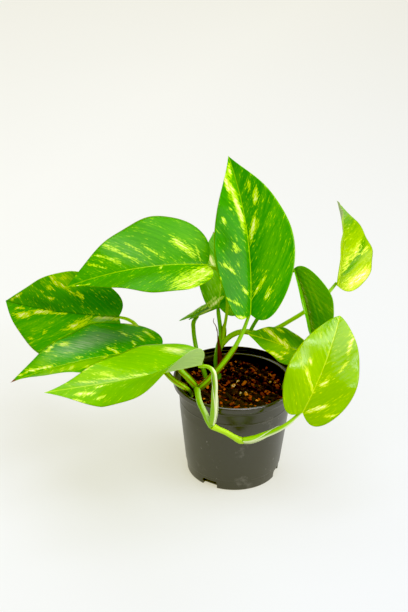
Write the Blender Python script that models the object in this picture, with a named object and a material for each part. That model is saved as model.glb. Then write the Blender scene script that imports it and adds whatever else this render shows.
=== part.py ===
"""A pothos (Epipremnum aureum) in a black nursery pot: pot, soil, vines with petioles, and leaf blades.

Lengths in this file are millimetres, turned to metres where a mesh is made. +Z is up, the pot stands on z = 0
with its axis on the origin, and -Y is the front.
"""

import math

import bmesh
import bpy
from mathutils import Euler, Vector
from mathutils.geometry import interpolate_bezier

MM = 0.001          # one millimetre in metres
GAP = 0.3           # clearance between pieces that touch
MERGE = 0.01        # corners closer than this are one

# ---------------------------------------------------------------- driving dimensions
RIM_RADIUS = 53.0           # outside of the rim band, a 4 inch nursery pot
POT_HEIGHT = 90.0
RIM_BAND = 5.5              # height of the rim band
WALL_TOP_RADIUS = 47.6      # outside of the wall, just under the rim band
COLLAR_HEIGHT = 22.0        # the nearly upright stretch under the rim band
COLLAR_RADIUS = 47.0
FOOT_STEP_HEIGHT = 10.0     # the inset foot starts here
WALL_LOW_RADIUS = 41.2
FOOT_RADIUS = 39.6
FOOT_INSET = 0.8
POT_WALL = 1.2
POT_FLOOR = 1.5
CHANNEL_INNER = 17.0        # ring channel under the floor that leads water to the notches
CHANNEL_OUTER = 32.0
CHANNEL_RISE = 2.0
NOTCH_ANGLES = (-119.0, -17.0, 68.0, 158.0)   # drain notches round the bottom corner, degrees from +X
NOTCH_WIDTH = 14.0
NOTCH_HEIGHT = 6.4
NOTCH_DEPTH = 9.0
NOTCH_CORNER = 2.0          # chamfer of a notch's top corners
EDGE = 0.6                  # small chamfer of the pot's edges
SLOPE = 1.0                 # how far the channel's sides lean
POT_SIDES = 56
POT_SMOOTH = 35.0           # edges sharper than this many degrees stay sharp

SOIL_LEVEL = 78.5           # mean height of the soil surface
SOIL_LEAN = 2.5             # the surface is this much higher at the back left
SOIL_LUMP = 1.3             # height of its lumps
SOIL_SIDES = 40
SOIL_RINGS = 9
HOLE_CLEARANCE = 0.9        # stems stand in plain holes, this much wider all round
HOLE_SIDES = 10

BLADE_THICKNESS = 0.8
BLADE_ROWS = 14
BLADE_COLUMNS = 8
SHEET_SMOOTH = 60.0
VEIN_SWEEP = 1.25           # how far the rows lean towards the tip
TIP_POWER = 6               # how close to its end a slim half starts to narrow
WAVE_SHIFT = 1.5            # the left margin's waves run this many radians ahead of the right's

# ---------------------------------------------------------------- leaf blades
# base: where the petiole meets the blade. heading and pitch: where the midrib sets off, in degrees from +X
# and above level. roll: left edge up. droop, sweep: how far the midrib bends down and to the left by the tip.
# fold: how far each half is raised from the midrib. curl: how far it bends down again by its margin.
# round_base, taper: powers of the outline, larger is slimmer. lobe: how deep the heart is, as a share of
# the length. left_share: width of the left half against the right. slim_left, slim_right: how much of each
# half's width the drawn-out tip takes away. lift, lift_end: extra fold of the left half at the base, and
# where along the blade it has gone.
LEAF_DEFAULTS = dict(sweep=0, fold=20, curl=18, round_base=0.5, taper=1.05, lobe=0.08, left_share=1.0,
                     slim_left=0, slim_right=0, lift=0, lift_end=1.0, wave=1.2, waves=3.0, phase=0.0)
LEAVES = {
    "blade_upright_centre": dict(base=(11, -10, 156), heading=88, pitch=48, roll=2, length=144, width=74,
                                 droop=8, sweep=21, fold=34, curl=17, round_base=0.56, left_share=0.89,
                                 taper=0.99, slim_left=0.3, slim_right=0.4),
    "blade_high_left": dict(base=(-26, 15, 188), heading=193, pitch=8, roll=-22, length=120, width=87,
                            droop=27, sweep=9, fold=26, lobe=0.04, left_share=0.95, round_base=0.48,
                            taper=1.16, phase=1.0, slim_left=0.35),
    "blade_far_left": dict(base=(-101, 24, 131.5), heading=157, pitch=-12, roll=-58, length=128, width=83,
                           droop=11, sweep=-11, fold=24, left_share=1.1, round_base=0.56,
                           slim_right=0.2, phase=2.0),
    "blade_low_left": dict(base=(-64, -12, 120), heading=200, pitch=7, roll=1, length=128, width=86,
                           droop=27, sweep=-8, fold=22, left_share=1.03, round_base=0.55, taper=1.12,
                           slim_left=0.85, phase=0.6),
    "blade_front_left": dict(base=(-27, -64, 139), heading=195, pitch=-8, roll=-11, length=128, width=80,
                             droop=-4, sweep=-3, fold=5, curl=20, left_share=1.02, round_base=0.49,
                             taper=1.13, lobe=0.04, lift=78, lift_end=0.67, phase=1.6, slim_right=0.75),
    "blade_low_right": dict(base=(56, -55, 90), heading=37, pitch=57, roll=47, length=90, width=60.5,
                            droop=39, sweep=11, fold=19, curl=20, left_share=0.95, round_base=0.46,
                            taper=0.86, lobe=0.09, phase=0.3),
    "blade_high_right": dict(base=(85, 42, 158), heading=72, pitch=42, roll=63, length=90, width=55,
                             droop=36, sweep=-3, fold=36, curl=11, lobe=0.06, round_base=0.6,
                             wave=0.9, waves=4.0, phase=2.2, left_share=0.96, taper=1.08, slim_right=0.6),
    "blade_hanging_right": dict(base=(46, 15, 187), heading=-7, pitch=-68, roll=49, length=78, width=51,
                                droop=30, fold=62, curl=16, round_base=0.62, taper=0.83, lobe=0.07,
                                wave=0.6),
    "blade_small_right": dict(base=(59, 10, 109), heading=203, pitch=30, roll=-34, length=58, width=37,
                              droop=13, sweep=-6, fold=11, curl=23, taper=0.96, lobe=0.1,
                              slim_right=0.15, wave=0.8, phase=0.8),
    "blade_small_left": dict(base=(-37, 36, 128), heading=39, pitch=14, roll=-30, length=69, width=47,
                             droop=3, sweep=6, fold=12, curl=29, round_base=0.42, taper=1.02, lobe=0.18,
                             wave=0.8, phase=1.3),
    "blade_back_centre": dict(base=(-16, 24, 144), heading=84, pitch=34, roll=34, length=83, width=55,
                              droop=25, sweep=9, round_base=0.45, taper=1.17, lobe=0.1, left_share=0.95),
}
BLADE_COLOURS = {"blade_low_right": (0.30, 0.58, 0.02), "blade_high_right": (0.42, 0.66, 0.06),
                 "blade_front_left": (0.28, 0.56, 0.02), "blade_far_left": (0.07, 0.36, 0.02),
                 "blade_low_left": (0.03, 0.24, 0.03), "blade_hanging_right": (0.08, 0.30, 0.01),
                 "blade_back_centre": (0.05, 0.27, 0.03)}
BLADE_GREEN = (0.10, 0.40, 0.01)

# ---------------------------------------------------------------- vines and petioles
# Each stem: route points with a radius each. A name in place of the last point is the blade it carries.
TUBE_BEVEL = 2              # 8 sides
TUBE_PIECES = 2             # rings between two points of a route
TUBE_SMOOTH = 50.0
PETIOLE_TIP = 1.2           # radius where a petiole meets its blade
PETIOLE_TUCK = 3.0          # a petiole ends this far along under its blade's midrib
PETIOLE_SLACK = 0.1
STEMS = {
    "vine_front": [
        [(-32, -8, 56, 2.4), (-32, -8, 77, 2.4), (-32, -8, 81.5, 2.5), (-32, -13, 86, 2.7), (-32, -20, 89, 3.0),
         (-31, -31, 92.6, 2.6), (-30, -42, 94, 2.5), (-28, -51, 93, 2.5), (-24, -57, 88, 2.5),
         (-21, -59, 82, 2.6), (-18, -60, 78, 3.0), (-13, -59, 74.5, 2.4), (-7, -58, 71, 2.3),
         (0, -57, 66, 2.4), (6, -56, 62, 3.0), (9, -56, 61.8, 2.4)],
        [(-32, -20, 88.5, 1.6), (-27, -26, 95.5, 2.2), (-16, -25, 109, 1.9), (-6, -21, 122, 1.8),
         (3, -16, 137, 1.8), "blade_upright_centre"],
        [(-32, -20, 88.5, 1.6), (-35, -23, 95.5, 2.4), (-45.5, -21.5, 107, 2.0), (-55.5, -16, 115, 1.7),
         "blade_low_left"],
        [(-18, -60, 78, 2.0), (-16.5, -63, 92, 2.6), (-16, -67.5, 113, 2.3), (-16.2, -70, 128, 2.0),
         (-18.2, -69, 136, 1.8), (-22.5, -65.8, 137.6, 1.5), "blade_front_left"],
        [(6, -56, 62, 2.0), (14, -57, 63.5, 2.6), (25, -57.5, 68.5, 2.3), (42, -58, 79, 1.9),
         "blade_low_right"],
    ],
    "stem_left": [
        [(-37, -17, 56, 1.9), (-37, -17, 77, 1.9), (-37, -17, 80.5, 2.0), (-38.5, -21, 87, 2.0),
         (-42, -25, 92.8, 2.0), (-49, -22, 95.5, 1.9), (-57, -13.5, 98, 1.8), (-72, 4, 110.5, 1.7),
         (-86, 22, 124.5, 1.6), (-93, 27, 127, 1.5), "blade_far_left"],
    ],
    "stem_centre": [
        [(-15, 13, 56, 2.8), (-15, 13, 80, 2.9), (-16, 13, 98, 2.9),
         (-14.5, 12.5, 112, 3.0), (-13.5, 13, 121, 1.9), (-14.4, 16, 131, 1.8), (-16, 22.5, 139, 1.7),
         "blade_back_centre"],
        [(-14.5, 12.5, 108, 1.6), (-11.4, 12.6, 120, 1.6), (-10.6, 13, 129, 1.4), (-9, 15, 141, 1.3),
         (-8.6, 17.5, 153, 1.3), (-10.5, 18.5, 168, 1.4), (-16, 19, 181, 1.5), "blade_high_left"],
        [(-15, 12.5, 108, 2.0), (-10, 12, 117, 2.3), (-3, 12, 124, 2.3), (5, 14, 126, 2.3),
         (12, 17, 124, 2.5), (22, 22, 120.5, 2.0), (34, 29, 122, 1.9), (46, 32, 128.5, 1.8),
         (58, 35, 136, 1.8), (70, 38.5, 146, 1.7), (78, 40.5, 153, 1.6), "blade_high_right"],
        [(11, 16.5, 124.5, 1.5), (17.5, 16.5, 138, 1.6), (31, 15, 162, 1.6), (39, 14, 178, 1.6),
         (42, 14, 186, 1.5), "blade_hanging_right"],
    ],
    "stem_small_left": [
        [(-26, 12, 56, 2.0), (-26, 12, 78, 2.0), (-26, 12, 82.5, 2.0), (-29.5, 16.5, 91, 2.0),
         (-33.1, 20, 100, 1.9), (-35.5, 25, 108, 1.9), (-37.2, 30.5, 117.5, 1.8), (-37.2, 33, 123.5, 1.9),
         "blade_small_left"],
    ],
    "stem_small_right": [
        [(42, 2, 56, 1.7), (42, 2, 77, 1.7), (42, 2, 81, 1.8), (46.5, 3.5, 90, 1.8),
         (53, 7, 99, 1.7), "blade_small_right"],
    ],
}
VINE_GREEN = (0.24, 0.48, 0.03)

# The dried sheath's spine: foot, two handles and point of a curve.
SHEATH_SPINE = [(-13.2, 8.8, 88), (-12, 8.5, 101), (-10.3, 8.1, 117), (-16.9, 8, 131.4)]
SHEATH_WIDTH = 5.4
SHEATH_BOW = 0.12           # how far its edges curve back round the stem, as a share of its width
SHEATH_THICKNESS = 0.6
SHEATH_ROWS = 8
SHEATH_COLUMNS = 4


# ---------------------------------------------------------------- shared helpers
def make_material(name, colour, roughness):
    material = bpy.data.materials.new(name)
    material.use_nodes = True
    shader = material.node_tree.nodes["Principled BSDF"]
    shader.inputs["Base Color"].default_value = (*colour, 1.0)
    shader.inputs["Roughness"].default_value = roughness
    shader.inputs["Metallic"].default_value = 0.0
    material.diffuse_color = (*colour, 1.0)
    return material


def make_object(name, data, material):
    thing = bpy.data.objects.new(name, data)
    if material:
        data.materials.append(material)
    bpy.context.scene.collection.objects.link(thing)
    return thing


def make_mesh_object(name, shell, material, smooth_angle):
    """An object from a finished bmesh, its faces turned outwards."""
    bmesh.ops.remove_doubles(shell, verts=shell.verts, dist=MERGE * MM)
    bmesh.ops.recalc_face_normals(shell, faces=shell.faces)
    mesh = bpy.data.meshes.new(name)
    shell.to_mesh(mesh)
    shell.free()
    mesh.shade_smooth()
    mesh.set_sharp_from_angle(angle=math.radians(smooth_angle))
    return make_object(name, mesh, material)


def evaluated_mesh(thing):
    depsgraph = bpy.context.evaluated_depsgraph_get()
    return bpy.data.meshes.new_from_object(thing.evaluated_get(depsgraph))


def boolean(target, operand, operation):
    """Cuts target by operand, or joins them, and takes operand away."""
    modifier = target.modifiers.new("boolean", "BOOLEAN")
    modifier.operation = operation
    modifier.object = operand
    result = evaluated_mesh(target)
    target.modifiers.remove(modifier)
    target.data = result
    bpy.data.objects.remove(operand)


def turned(profile, sides):
    """A bmesh of a (radius, z) profile spun about Z. Its two ends are on the axis."""
    shell = bmesh.new()
    corners = [shell.verts.new((radius * MM, 0.0, height * MM)) for radius, height in profile]
    edges = [shell.edges.new(pair) for pair in zip(corners, corners[1:])]
    bmesh.ops.spin(shell, geom=corners + edges, cent=(0, 0, 0), axis=(0, 0, 1), angle=math.tau,
                   steps=sides, use_merge=True)
    bmesh.ops.remove_doubles(shell, verts=shell.verts, dist=MERGE * MM)
    return shell


def make_sheet(name, place, rows, columns, thickness, material):
    """A thin closed sheet. place(row, across) gives its middle surface, row 0 to 1 and across -1 to 1."""
    shell = bmesh.new()
    bmesh.ops.create_grid(shell, x_segments=rows, y_segments=columns, size=1.0)
    for corner in shell.verts:
        row, across = (corner.co.x + 1) / 2, corner.co.y
        corner.co = place(row, across) * MM
    bmesh.ops.remove_doubles(shell, verts=shell.verts, dist=MERGE * MM)
    bmesh.ops.triangulate(shell, faces=shell.faces, quad_method="SHORT_EDGE")
    sheet = make_mesh_object(name, shell, material, SHEET_SMOOTH)
    solidify = sheet.modifiers.new("thickness", "SOLIDIFY")
    solidify.thickness = thickness * MM
    solidify.offset = 0.0
    return sheet


# ---------------------------------------------------------------- pot
def make_pot():
    top = POT_HEIGHT
    band_foot = top - RIM_BAND
    collar_foot = band_foot - COLLAR_HEIGHT
    channel_floor = POT_FLOOR + CHANNEL_RISE
    under_floor = [(0.0, 0.0), (CHANNEL_INNER, 0.0), (CHANNEL_INNER + SLOPE, CHANNEL_RISE),
                   (CHANNEL_OUTER - SLOPE, CHANNEL_RISE), (CHANNEL_OUTER, 0.0)]
    outer = [(FOOT_RADIUS - EDGE, 0.0), (FOOT_RADIUS, EDGE),
             (WALL_LOW_RADIUS - FOOT_INSET, FOOT_STEP_HEIGHT - EDGE), (WALL_LOW_RADIUS, FOOT_STEP_HEIGHT),
             (COLLAR_RADIUS, collar_foot), (WALL_TOP_RADIUS, band_foot - EDGE), (RIM_RADIUS - EDGE, band_foot),
             (RIM_RADIUS, band_foot + EDGE), (RIM_RADIUS, top - EDGE), (RIM_RADIUS - EDGE, top)]
    inner = [(RIM_RADIUS - POT_WALL, top), (RIM_RADIUS - POT_WALL, band_foot + POT_WALL),
             (WALL_TOP_RADIUS - POT_WALL, band_foot + POT_WALL - EDGE), (COLLAR_RADIUS - POT_WALL, collar_foot),
             (WALL_LOW_RADIUS - POT_WALL, FOOT_STEP_HEIGHT), (FOOT_RADIUS - POT_WALL - EDGE, POT_FLOOR)]
    inside_floor = [(CHANNEL_OUTER + 2 * SLOPE, POT_FLOOR), (CHANNEL_OUTER + SLOPE, channel_floor),
                    (CHANNEL_INNER - SLOPE, channel_floor), (CHANNEL_INNER - 2 * SLOPE, POT_FLOOR),
                    (0.0, POT_FLOOR)]
    material = make_material("black_polypropylene", (0.03, 0.03, 0.025), 0.35)
    shell = turned(under_floor + outer + inner + inside_floor, POT_SIDES)
    pot = make_mesh_object("pot", shell, material, POT_SMOOTH)
    for angle in NOTCH_ANGLES:
        boolean(pot, make_notch_cutter(angle), "DIFFERENCE")
    return pot


def make_notch_cutter(angle):
    """A block with chamfered top corners that cuts one drain notch through the wall's bottom corner."""
    half = NOTCH_WIDTH / 2
    outline = [(-half, -NOTCH_CORNER), (half, -NOTCH_CORNER), (half, NOTCH_HEIGHT - NOTCH_CORNER),
               (half - NOTCH_CORNER, NOTCH_HEIGHT), (NOTCH_CORNER - half, NOTCH_HEIGHT),
               (-half, NOTCH_HEIGHT - NOTCH_CORNER)]
    near = FOOT_RADIUS - NOTCH_DEPTH / 2
    shell = bmesh.new()
    corners = [shell.verts.new(Vector((near, across, height)) * MM) for across, height in outline]
    face = shell.faces.new(corners)
    pushed = bmesh.ops.extrude_face_region(shell, geom=[face])["geom"]
    far_corners = [element for element in pushed if isinstance(element, bmesh.types.BMVert)]
    bmesh.ops.translate(shell, verts=far_corners, vec=(NOTCH_DEPTH * MM, 0.0, 0.0))
    cutter = make_mesh_object("notch_cutter", shell, None, POT_SMOOTH)
    cutter.rotation_euler = (0.0, 0.0, math.radians(angle))
    return cutter


# ---------------------------------------------------------------- soil
def soil_height(x, y):
    """Height of the soil surface: level, leaning up to the back left, with lumps."""
    lean = SOIL_LEAN * (y - x) / (2 * WALL_TOP_RADIUS)
    lumps = math.sin(0.31 * x + 1.3) * math.cos(0.27 * y) + 0.6 * math.sin(0.62 * y + 0.4 * x)
    return SOIL_LEVEL + lean + SOIL_LUMP * lumps


def make_soil():
    surface_radius = COLLAR_RADIUS - POT_WALL - GAP
    foot_radius = FOOT_RADIUS - POT_WALL - EDGE - 2 * GAP
    foot = POT_FLOOR + CHANNEL_RISE + GAP
    shoulder = POT_HEIGHT - RIM_BAND - COLLAR_HEIGHT
    profile = [(0.0, foot), (foot_radius, foot), (surface_radius, shoulder)]
    profile += [(surface_radius * (1 - ring / SOIL_RINGS), SOIL_LEVEL) for ring in range(SOIL_RINGS + 1)]
    shell = turned(profile, SOIL_SIDES)
    for corner in shell.verts:
        if corner.co.z > (shoulder + GAP) * MM:
            corner.co.z = soil_height(corner.co.x / MM, corner.co.y / MM) * MM
    bmesh.ops.triangulate(shell, faces=shell.faces)
    material = make_material("potting_soil", (0.05, 0.025, 0.012), 0.95)
    soil = make_mesh_object("soil", shell, material, POT_SMOOTH)
    for routes in STEMS.values():
        boolean(soil, make_hole_cutter(routes[0]), "DIFFERENCE")
    return soil


def make_hole_cutter(route):
    """A plain round hole for the stretch of a stem that stands in the soil."""
    x, y, foot, radius = route[0]
    hole_radius = radius + HOLE_CLEARANCE
    profile = [(0.0, foot - GAP), (hole_radius, foot - GAP), (hole_radius, POT_HEIGHT), (0.0, POT_HEIGHT)]
    cutter = make_mesh_object("hole_cutter", turned(profile, HOLE_SIDES), None, POT_SMOOTH)
    cutter.location = Vector((x, y, 0.0)) * MM
    return cutter


# ---------------------------------------------------------------- leaf blades
def leaf_turn(leaf):
    """Turns the blade's own axes (midrib, left, up) to the world's."""
    return Euler((math.radians(leaf["roll"]), -math.radians(leaf["pitch"]), math.radians(leaf["heading"])))


def midrib(leaf, share, steps=24):
    """Point, direction, left and up of the bent midrib, at a share of its length."""
    point = Vector()
    for step in range(steps):
        ahead, leftward = midrib_direction(leaf, share * (step + 0.5) / steps)
        point += leaf["length"] * share / steps * ahead
    ahead, leftward = midrib_direction(leaf, share)
    return point, ahead, leftward, ahead.cross(leftward)


def midrib_direction(leaf, share):
    down = math.radians(leaf["droop"]) * share
    left = math.radians(leaf["sweep"]) * share
    ahead = Vector((math.cos(down) * math.cos(left), math.cos(down) * math.sin(left), -math.sin(down)))
    return ahead, Vector((-math.sin(left), math.cos(left), 0.0))


def blade_point(leaf, row, across):
    """Point of the blade's middle surface, in its own axes. row: 0 base to 1 tip. across: -1 right, 1 left."""
    p = leaf["round_base"]
    q = leaf["taper"]
    widest = (p / (p + q)) ** p * (q / (p + q)) ** q
    left = across > 0
    slim = leaf["slim_left"] if left else leaf["slim_right"]
    spread = row ** p * (1 - row) ** q / widest * (1 - slim * row ** TIP_POWER)
    edge_along = row - leaf["lobe"] * math.sin(math.pi * spread) * (1 - row) ** 3
    rib_along = row ** VEIN_SWEEP
    along = rib_along + (edge_along - rib_along) * abs(across)
    half_width = leaf["width"] / 2 * (leaf["left_share"] if left else 2 - leaf["left_share"])
    reach = abs(across) * spread * half_width
    share = min(max(along, 0.0), 1.0)
    point, ahead, leftward, up = midrib(leaf, share)
    point += ahead * leaf["length"] * (along - share)
    lifted = leaf["lift"] * max(0.0, 1 - share / leaf["lift_end"]) if left else 0.0
    fold = math.radians(leaf["fold"] + lifted)
    curl = math.radians(leaf["curl"])
    turned_down = curl * reach / (leaf["width"] / 2)
    sideways = leaf["width"] / 2 * (math.sin(fold) - math.sin(fold - turned_down)) / curl
    raised = leaf["width"] / 2 * (math.cos(fold - turned_down) - math.cos(fold)) / curl
    ripple = math.sin(math.tau * leaf["waves"] * row + leaf["phase"] + (WAVE_SHIFT if left else 0.0))
    raised += leaf["wave"] * ripple * across ** 2 * math.sin(math.pi * row)
    return point + leftward * math.copysign(sideways, across) + up * raised


def make_blade(name, leaf):
    def place(row, across):
        return blade_point(leaf, 0.5 * (1 - math.cos(math.pi * row)), across)

    material = make_material(name + "_green", BLADE_COLOURS.get(name, BLADE_GREEN), 0.3)
    blade = make_sheet(name, place, BLADE_ROWS, BLADE_COLUMNS, BLADE_THICKNESS, material)
    blade.location = Vector(leaf["base"]) * MM
    blade.rotation_euler = leaf_turn(leaf)
    return blade


# ---------------------------------------------------------------- vines and petioles
def petiole_end(leaf):
    """Where a petiole ends, with its radius there: tucked under the midrib, just clear of the blade."""
    drop = BLADE_THICKNESS / 2 + GAP + PETIOLE_TIP + PETIOLE_SLACK
    end = Vector(leaf["base"]) + leaf_turn(leaf).to_matrix() @ Vector((PETIOLE_TUCK, 0.0, -drop))
    return (*end, PETIOLE_TIP)


def make_tube(name, route, material):
    """A round tube through the points of a route of (x, y, z, radius)."""
    curve = bpy.data.curves.new(name, "CURVE")
    curve.dimensions = "3D"
    curve.bevel_depth = MM
    curve.bevel_resolution = TUBE_BEVEL
    curve.resolution_u = TUBE_PIECES
    curve.use_fill_caps = True
    spline = curve.splines.new("BEZIER")
    spline.bezier_points.add(len(route) - 1)
    for knot, (x, y, z, radius) in zip(spline.bezier_points, route):
        knot.co = Vector((x, y, z)) * MM
        knot.radius = radius
        knot.handle_left_type = "AUTO"
        knot.handle_right_type = "AUTO"
    guide = make_object(name, curve, None)
    mesh = evaluated_mesh(guide)
    bpy.data.objects.remove(guide)
    shell = bmesh.new()
    shell.from_mesh(mesh)
    return make_mesh_object(name, shell, material, TUBE_SMOOTH)


def make_stem(name, routes):
    material = make_material(name + "_green", VINE_GREEN, 0.45)
    stem = None
    for route in routes:
        if isinstance(route[-1], str):
            route = [*route[:-1], petiole_end(LEAVES[route[-1]])]
        tube = make_tube(name, route, material)
        if stem:
            boolean(stem, tube, "UNION")
        else:
            stem = tube
    stem.name = name
    return stem


def make_sheath():
    """The dried sheath: a pointed scale in front of the centre stem, its edges bent back round it."""
    spine = interpolate_bezier(*[Vector(point) for point in SHEATH_SPINE], SHEATH_ROWS + 1)

    def place(row, across):
        width = SHEATH_WIDTH * (1 - row) ** 0.7
        return spine[round(row * SHEATH_ROWS)] + width * Vector((across / 2, SHEATH_BOW * across ** 2, 0.0))

    material = make_material("dry_sheath", (0.16, 0.04, 0.01), 0.7)
    return make_sheet("dried_sheath", place, SHEATH_ROWS, SHEATH_COLUMNS, SHEATH_THICKNESS, material)


def main():
    for thing in list(bpy.data.objects):
        bpy.data.objects.remove(thing)
    leaves = {name: {**LEAF_DEFAULTS, **settings} for name, settings in LEAVES.items()}
    make_pot()
    make_soil()
    for name, routes in STEMS.items():
        make_stem(name, routes)
    make_sheath()
    for name, leaf in leaves.items():
        make_blade(name, leaf)


main()
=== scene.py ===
import math
from functools import partial

import bmesh
import bpy
import numpy as np
from mathutils import Euler, Matrix, Vector


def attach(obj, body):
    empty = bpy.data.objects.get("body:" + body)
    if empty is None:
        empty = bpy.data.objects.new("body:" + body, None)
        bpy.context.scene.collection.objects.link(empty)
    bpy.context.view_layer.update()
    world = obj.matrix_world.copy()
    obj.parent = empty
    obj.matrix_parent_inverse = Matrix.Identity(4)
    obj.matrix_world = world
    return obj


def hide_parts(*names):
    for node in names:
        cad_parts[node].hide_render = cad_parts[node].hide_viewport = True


# A pothos in a black nursery pot. Sizes in the dictionaries are millimetres unless a note says otherwise.
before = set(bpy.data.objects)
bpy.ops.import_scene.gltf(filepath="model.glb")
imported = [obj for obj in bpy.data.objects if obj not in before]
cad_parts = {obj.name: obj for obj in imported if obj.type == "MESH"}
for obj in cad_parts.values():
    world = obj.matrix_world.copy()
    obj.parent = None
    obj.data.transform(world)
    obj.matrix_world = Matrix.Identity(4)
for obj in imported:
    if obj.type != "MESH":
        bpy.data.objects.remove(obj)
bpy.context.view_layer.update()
mm = 0.001
touching = 0.00002 * mm      # points nearer than this are one
print("frame loaded:", len(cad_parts), "solids")


def hexToLinear(code):
    parts = [int(code[i:i + 2], 16) / 255 for i in (1, 3, 5)]
    return (*[c / 12.92 if c <= 0.04045 else ((c + 0.055) / 1.055) ** 2.4 for c in parts], 1.0)


def feed(tree, socket, value):
    # numbers fill a socket; another socket or a node's first output is linked to it, and a list links each
    for item in value if isinstance(value, list) else [value]:
        if isinstance(item, bpy.types.Node):
            item = next(output for output in item.outputs if output.enabled)
        if isinstance(item, bpy.types.NodeSocket):
            tree.links.new(item, socket)
        elif item is not None:
            socket.default_value = item


def addNode(tree, kind, *values, **settings):
    # values fill the node's inputs in order, and settings that start with a capital fill them by name
    node = tree.nodes.new(kind)
    named = {name: value for name, value in settings.items() if name[0].isupper()}
    for name, value in settings.items():
        if name not in named:
            setattr(node, name, value)
    for socket, value in zip([s for s in node.inputs if s.enabled], values):
        feed(tree, socket, value)
    for name, value in named.items():
        feed(tree, node.inputs[name], value)
    return node


def newTree(name, **inputs):
    # a geometry tree with named inputs, each key a kind of socket; gives an adder for its nodes, and the inputs
    tree = bpy.data.node_groups.new(name, "GeometryNodeTree")
    labels = [(label, kind) for kind, group in inputs.items() for label in group.split()]
    for label, kind in labels:
        tree.interface.new_socket(label, in_out="INPUT", socket_type="NodeSocket" + kind)
    tree.interface.new_socket("Geometry", in_out="OUTPUT", socket_type="NodeSocketGeometry")
    add = partial(addNode, tree)
    given = add("NodeGroupInput").outputs
    return tree, add, {label: given[i] for i, (label, kind) in enumerate(labels)}


def grow(name, tree, settings, start=None):
    # runs a tree on a new object and keeps the result as a plain mesh
    guide = bpy.data.objects.new(name + "Guide", start or bpy.data.meshes.new(name))
    bpy.context.scene.collection.objects.link(guide)
    modifier = guide.modifiers.new("tree", "NODES")
    modifier.node_group = tree
    for item in tree.interface.items_tree:
        if item.in_out == "INPUT" and item.name in settings:
            modifier[item.identifier] = settings[item.name]
    depsgraph = bpy.context.evaluated_depsgraph_get()
    mesh = bpy.data.meshes.new_from_object(guide.evaluated_get(depsgraph), preserve_all_data_layers=True,
                                           depsgraph=depsgraph)
    guide.modifiers.remove(modifier)
    bpy.data.objects.remove(guide)
    return makeObject(name, mesh)


def makeObject(name, mesh, material=None):
    piece = bpy.data.objects.new(name, mesh)
    if material:
        mesh.materials.append(material)
    bpy.context.scene.collection.objects.link(piece)
    return piece


def takeMesh(name, shell):
    mesh = bpy.data.meshes.new(name)
    shell.to_mesh(mesh)
    shell.free()
    return mesh


def keep(piece, slot, *nodes):
    # every piece belongs to the one body
    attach(piece, "root")
    if nodes:
        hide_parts(*nodes)


def makeMaterial(name):
    material = bpy.data.materials.new(name)
    material.use_nodes = True
    return material, partial(addNode, material.node_tree)


shaderInputs = dict(colour="Base Color", roughness="Roughness", ior="IOR", shine="Specular IOR Level",
                    glow="Emission Strength", glowColour="Emission Color", normal="Normal")


def finish(material, relief=None, strength=0.0, depth=0.0, **looks):
    # fills the shader's inputs; relief drives a bump of that strength and depth in millimetres
    tree = material.node_tree
    if relief:
        looks["normal"] = addNode(tree, "ShaderNodeBump", strength, depth * mm, Height=relief)
    for look, value in looks.items():
        feed(tree, tree.nodes["Principled BSDF"].inputs[shaderInputs[look]], value)
    return material


def tintRamp(ramp, *tones):
    stops = ramp.color_ramp.elements
    while len(stops) < len(tones):
        stops.new(0.5)
    for stop, (position, code) in zip(stops, tones):
        stop.position, stop.color = position, hexToLinear(code)
    return ramp


def layColours(add, layer, *coats):
    # lays one colour after another over a layer, each where its mask says
    for mask, code in coats:
        layer = add("ShaderNodeMix", mask, layer, hexToLinear(code), data_type="RGBA")
    return layer


# the camera's view
view = dict(lens=88.235, target=(0, 0, 45), distance=1304, elevation=32.63, roll=1.8,
            aside=0.019935, down=-0.076600)


def makeCamera():
    # the target sits a little off the middle of the frame, by these tangents to the right and down
    lift = math.radians(view["elevation"])
    ahead = Vector((0, math.cos(lift), -math.sin(lift)))
    right = Vector((1, 0, 0))
    level = Matrix((right, right.cross(ahead), ahead))
    roll = Matrix.Rotation(-math.radians(view["roll"]), 3, "Z")
    towards = Vector((view["aside"], view["down"], 1)).normalized()
    turn = Vector((0, 0, 1)).rotation_difference(towards).to_matrix()
    rows = turn @ roll @ level
    camera = bpy.data.objects.new("camera", bpy.data.cameras.new("camera"))
    camera.data.lens = view["lens"]
    camera.data.clip_start, camera.data.clip_end = 0.05, 50
    camera.matrix_world = Matrix.Translation((Vector(view["target"]) - ahead * view["distance"]) * mm) @ \
        Matrix((rows[0], rows[1], -rows[2])).transposed().to_4x4()
    bpy.context.scene.collection.objects.link(camera)
    bpy.context.scene.camera = camera


# metres and watts; the floor's painted glow slopes from its low share to its high one along a direction over it
studio = dict(dome=0.54, floorSize=9.0, floorDrop=0.3 * mm, aim=(0, 0, 0.1), glow=0.612,
              glowSlope=(-0.27, 0.12, 0.0), slopeRange=(-0.10, 0.14), glowShares=(0.85, 1.07),
              black=(0.010, 0.012, 0.030), white=(1.0, 1.0, 1.0))
lamps = dict(
    overhead=dict(at=(0.10, -0.15, 1.5), size=(1.1, 1.1), power=11.0, tint="#FFFFFF"),
    backBox=dict(at=(-0.25, 1.0, 1.55), size=(1.0, 0.5), power=4.0, tint="#FFFFFF"),
    rightBox=dict(at=(1.25, -0.10, 0.85), size=(0.6, 0.9), power=9.0, tint="#FFFDF8"),
    frontStrip=dict(at=(0.74, -0.87, 1.19), size=(1.25, 0.16), power=7.5, tint="#FFFFFF"),
)


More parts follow.
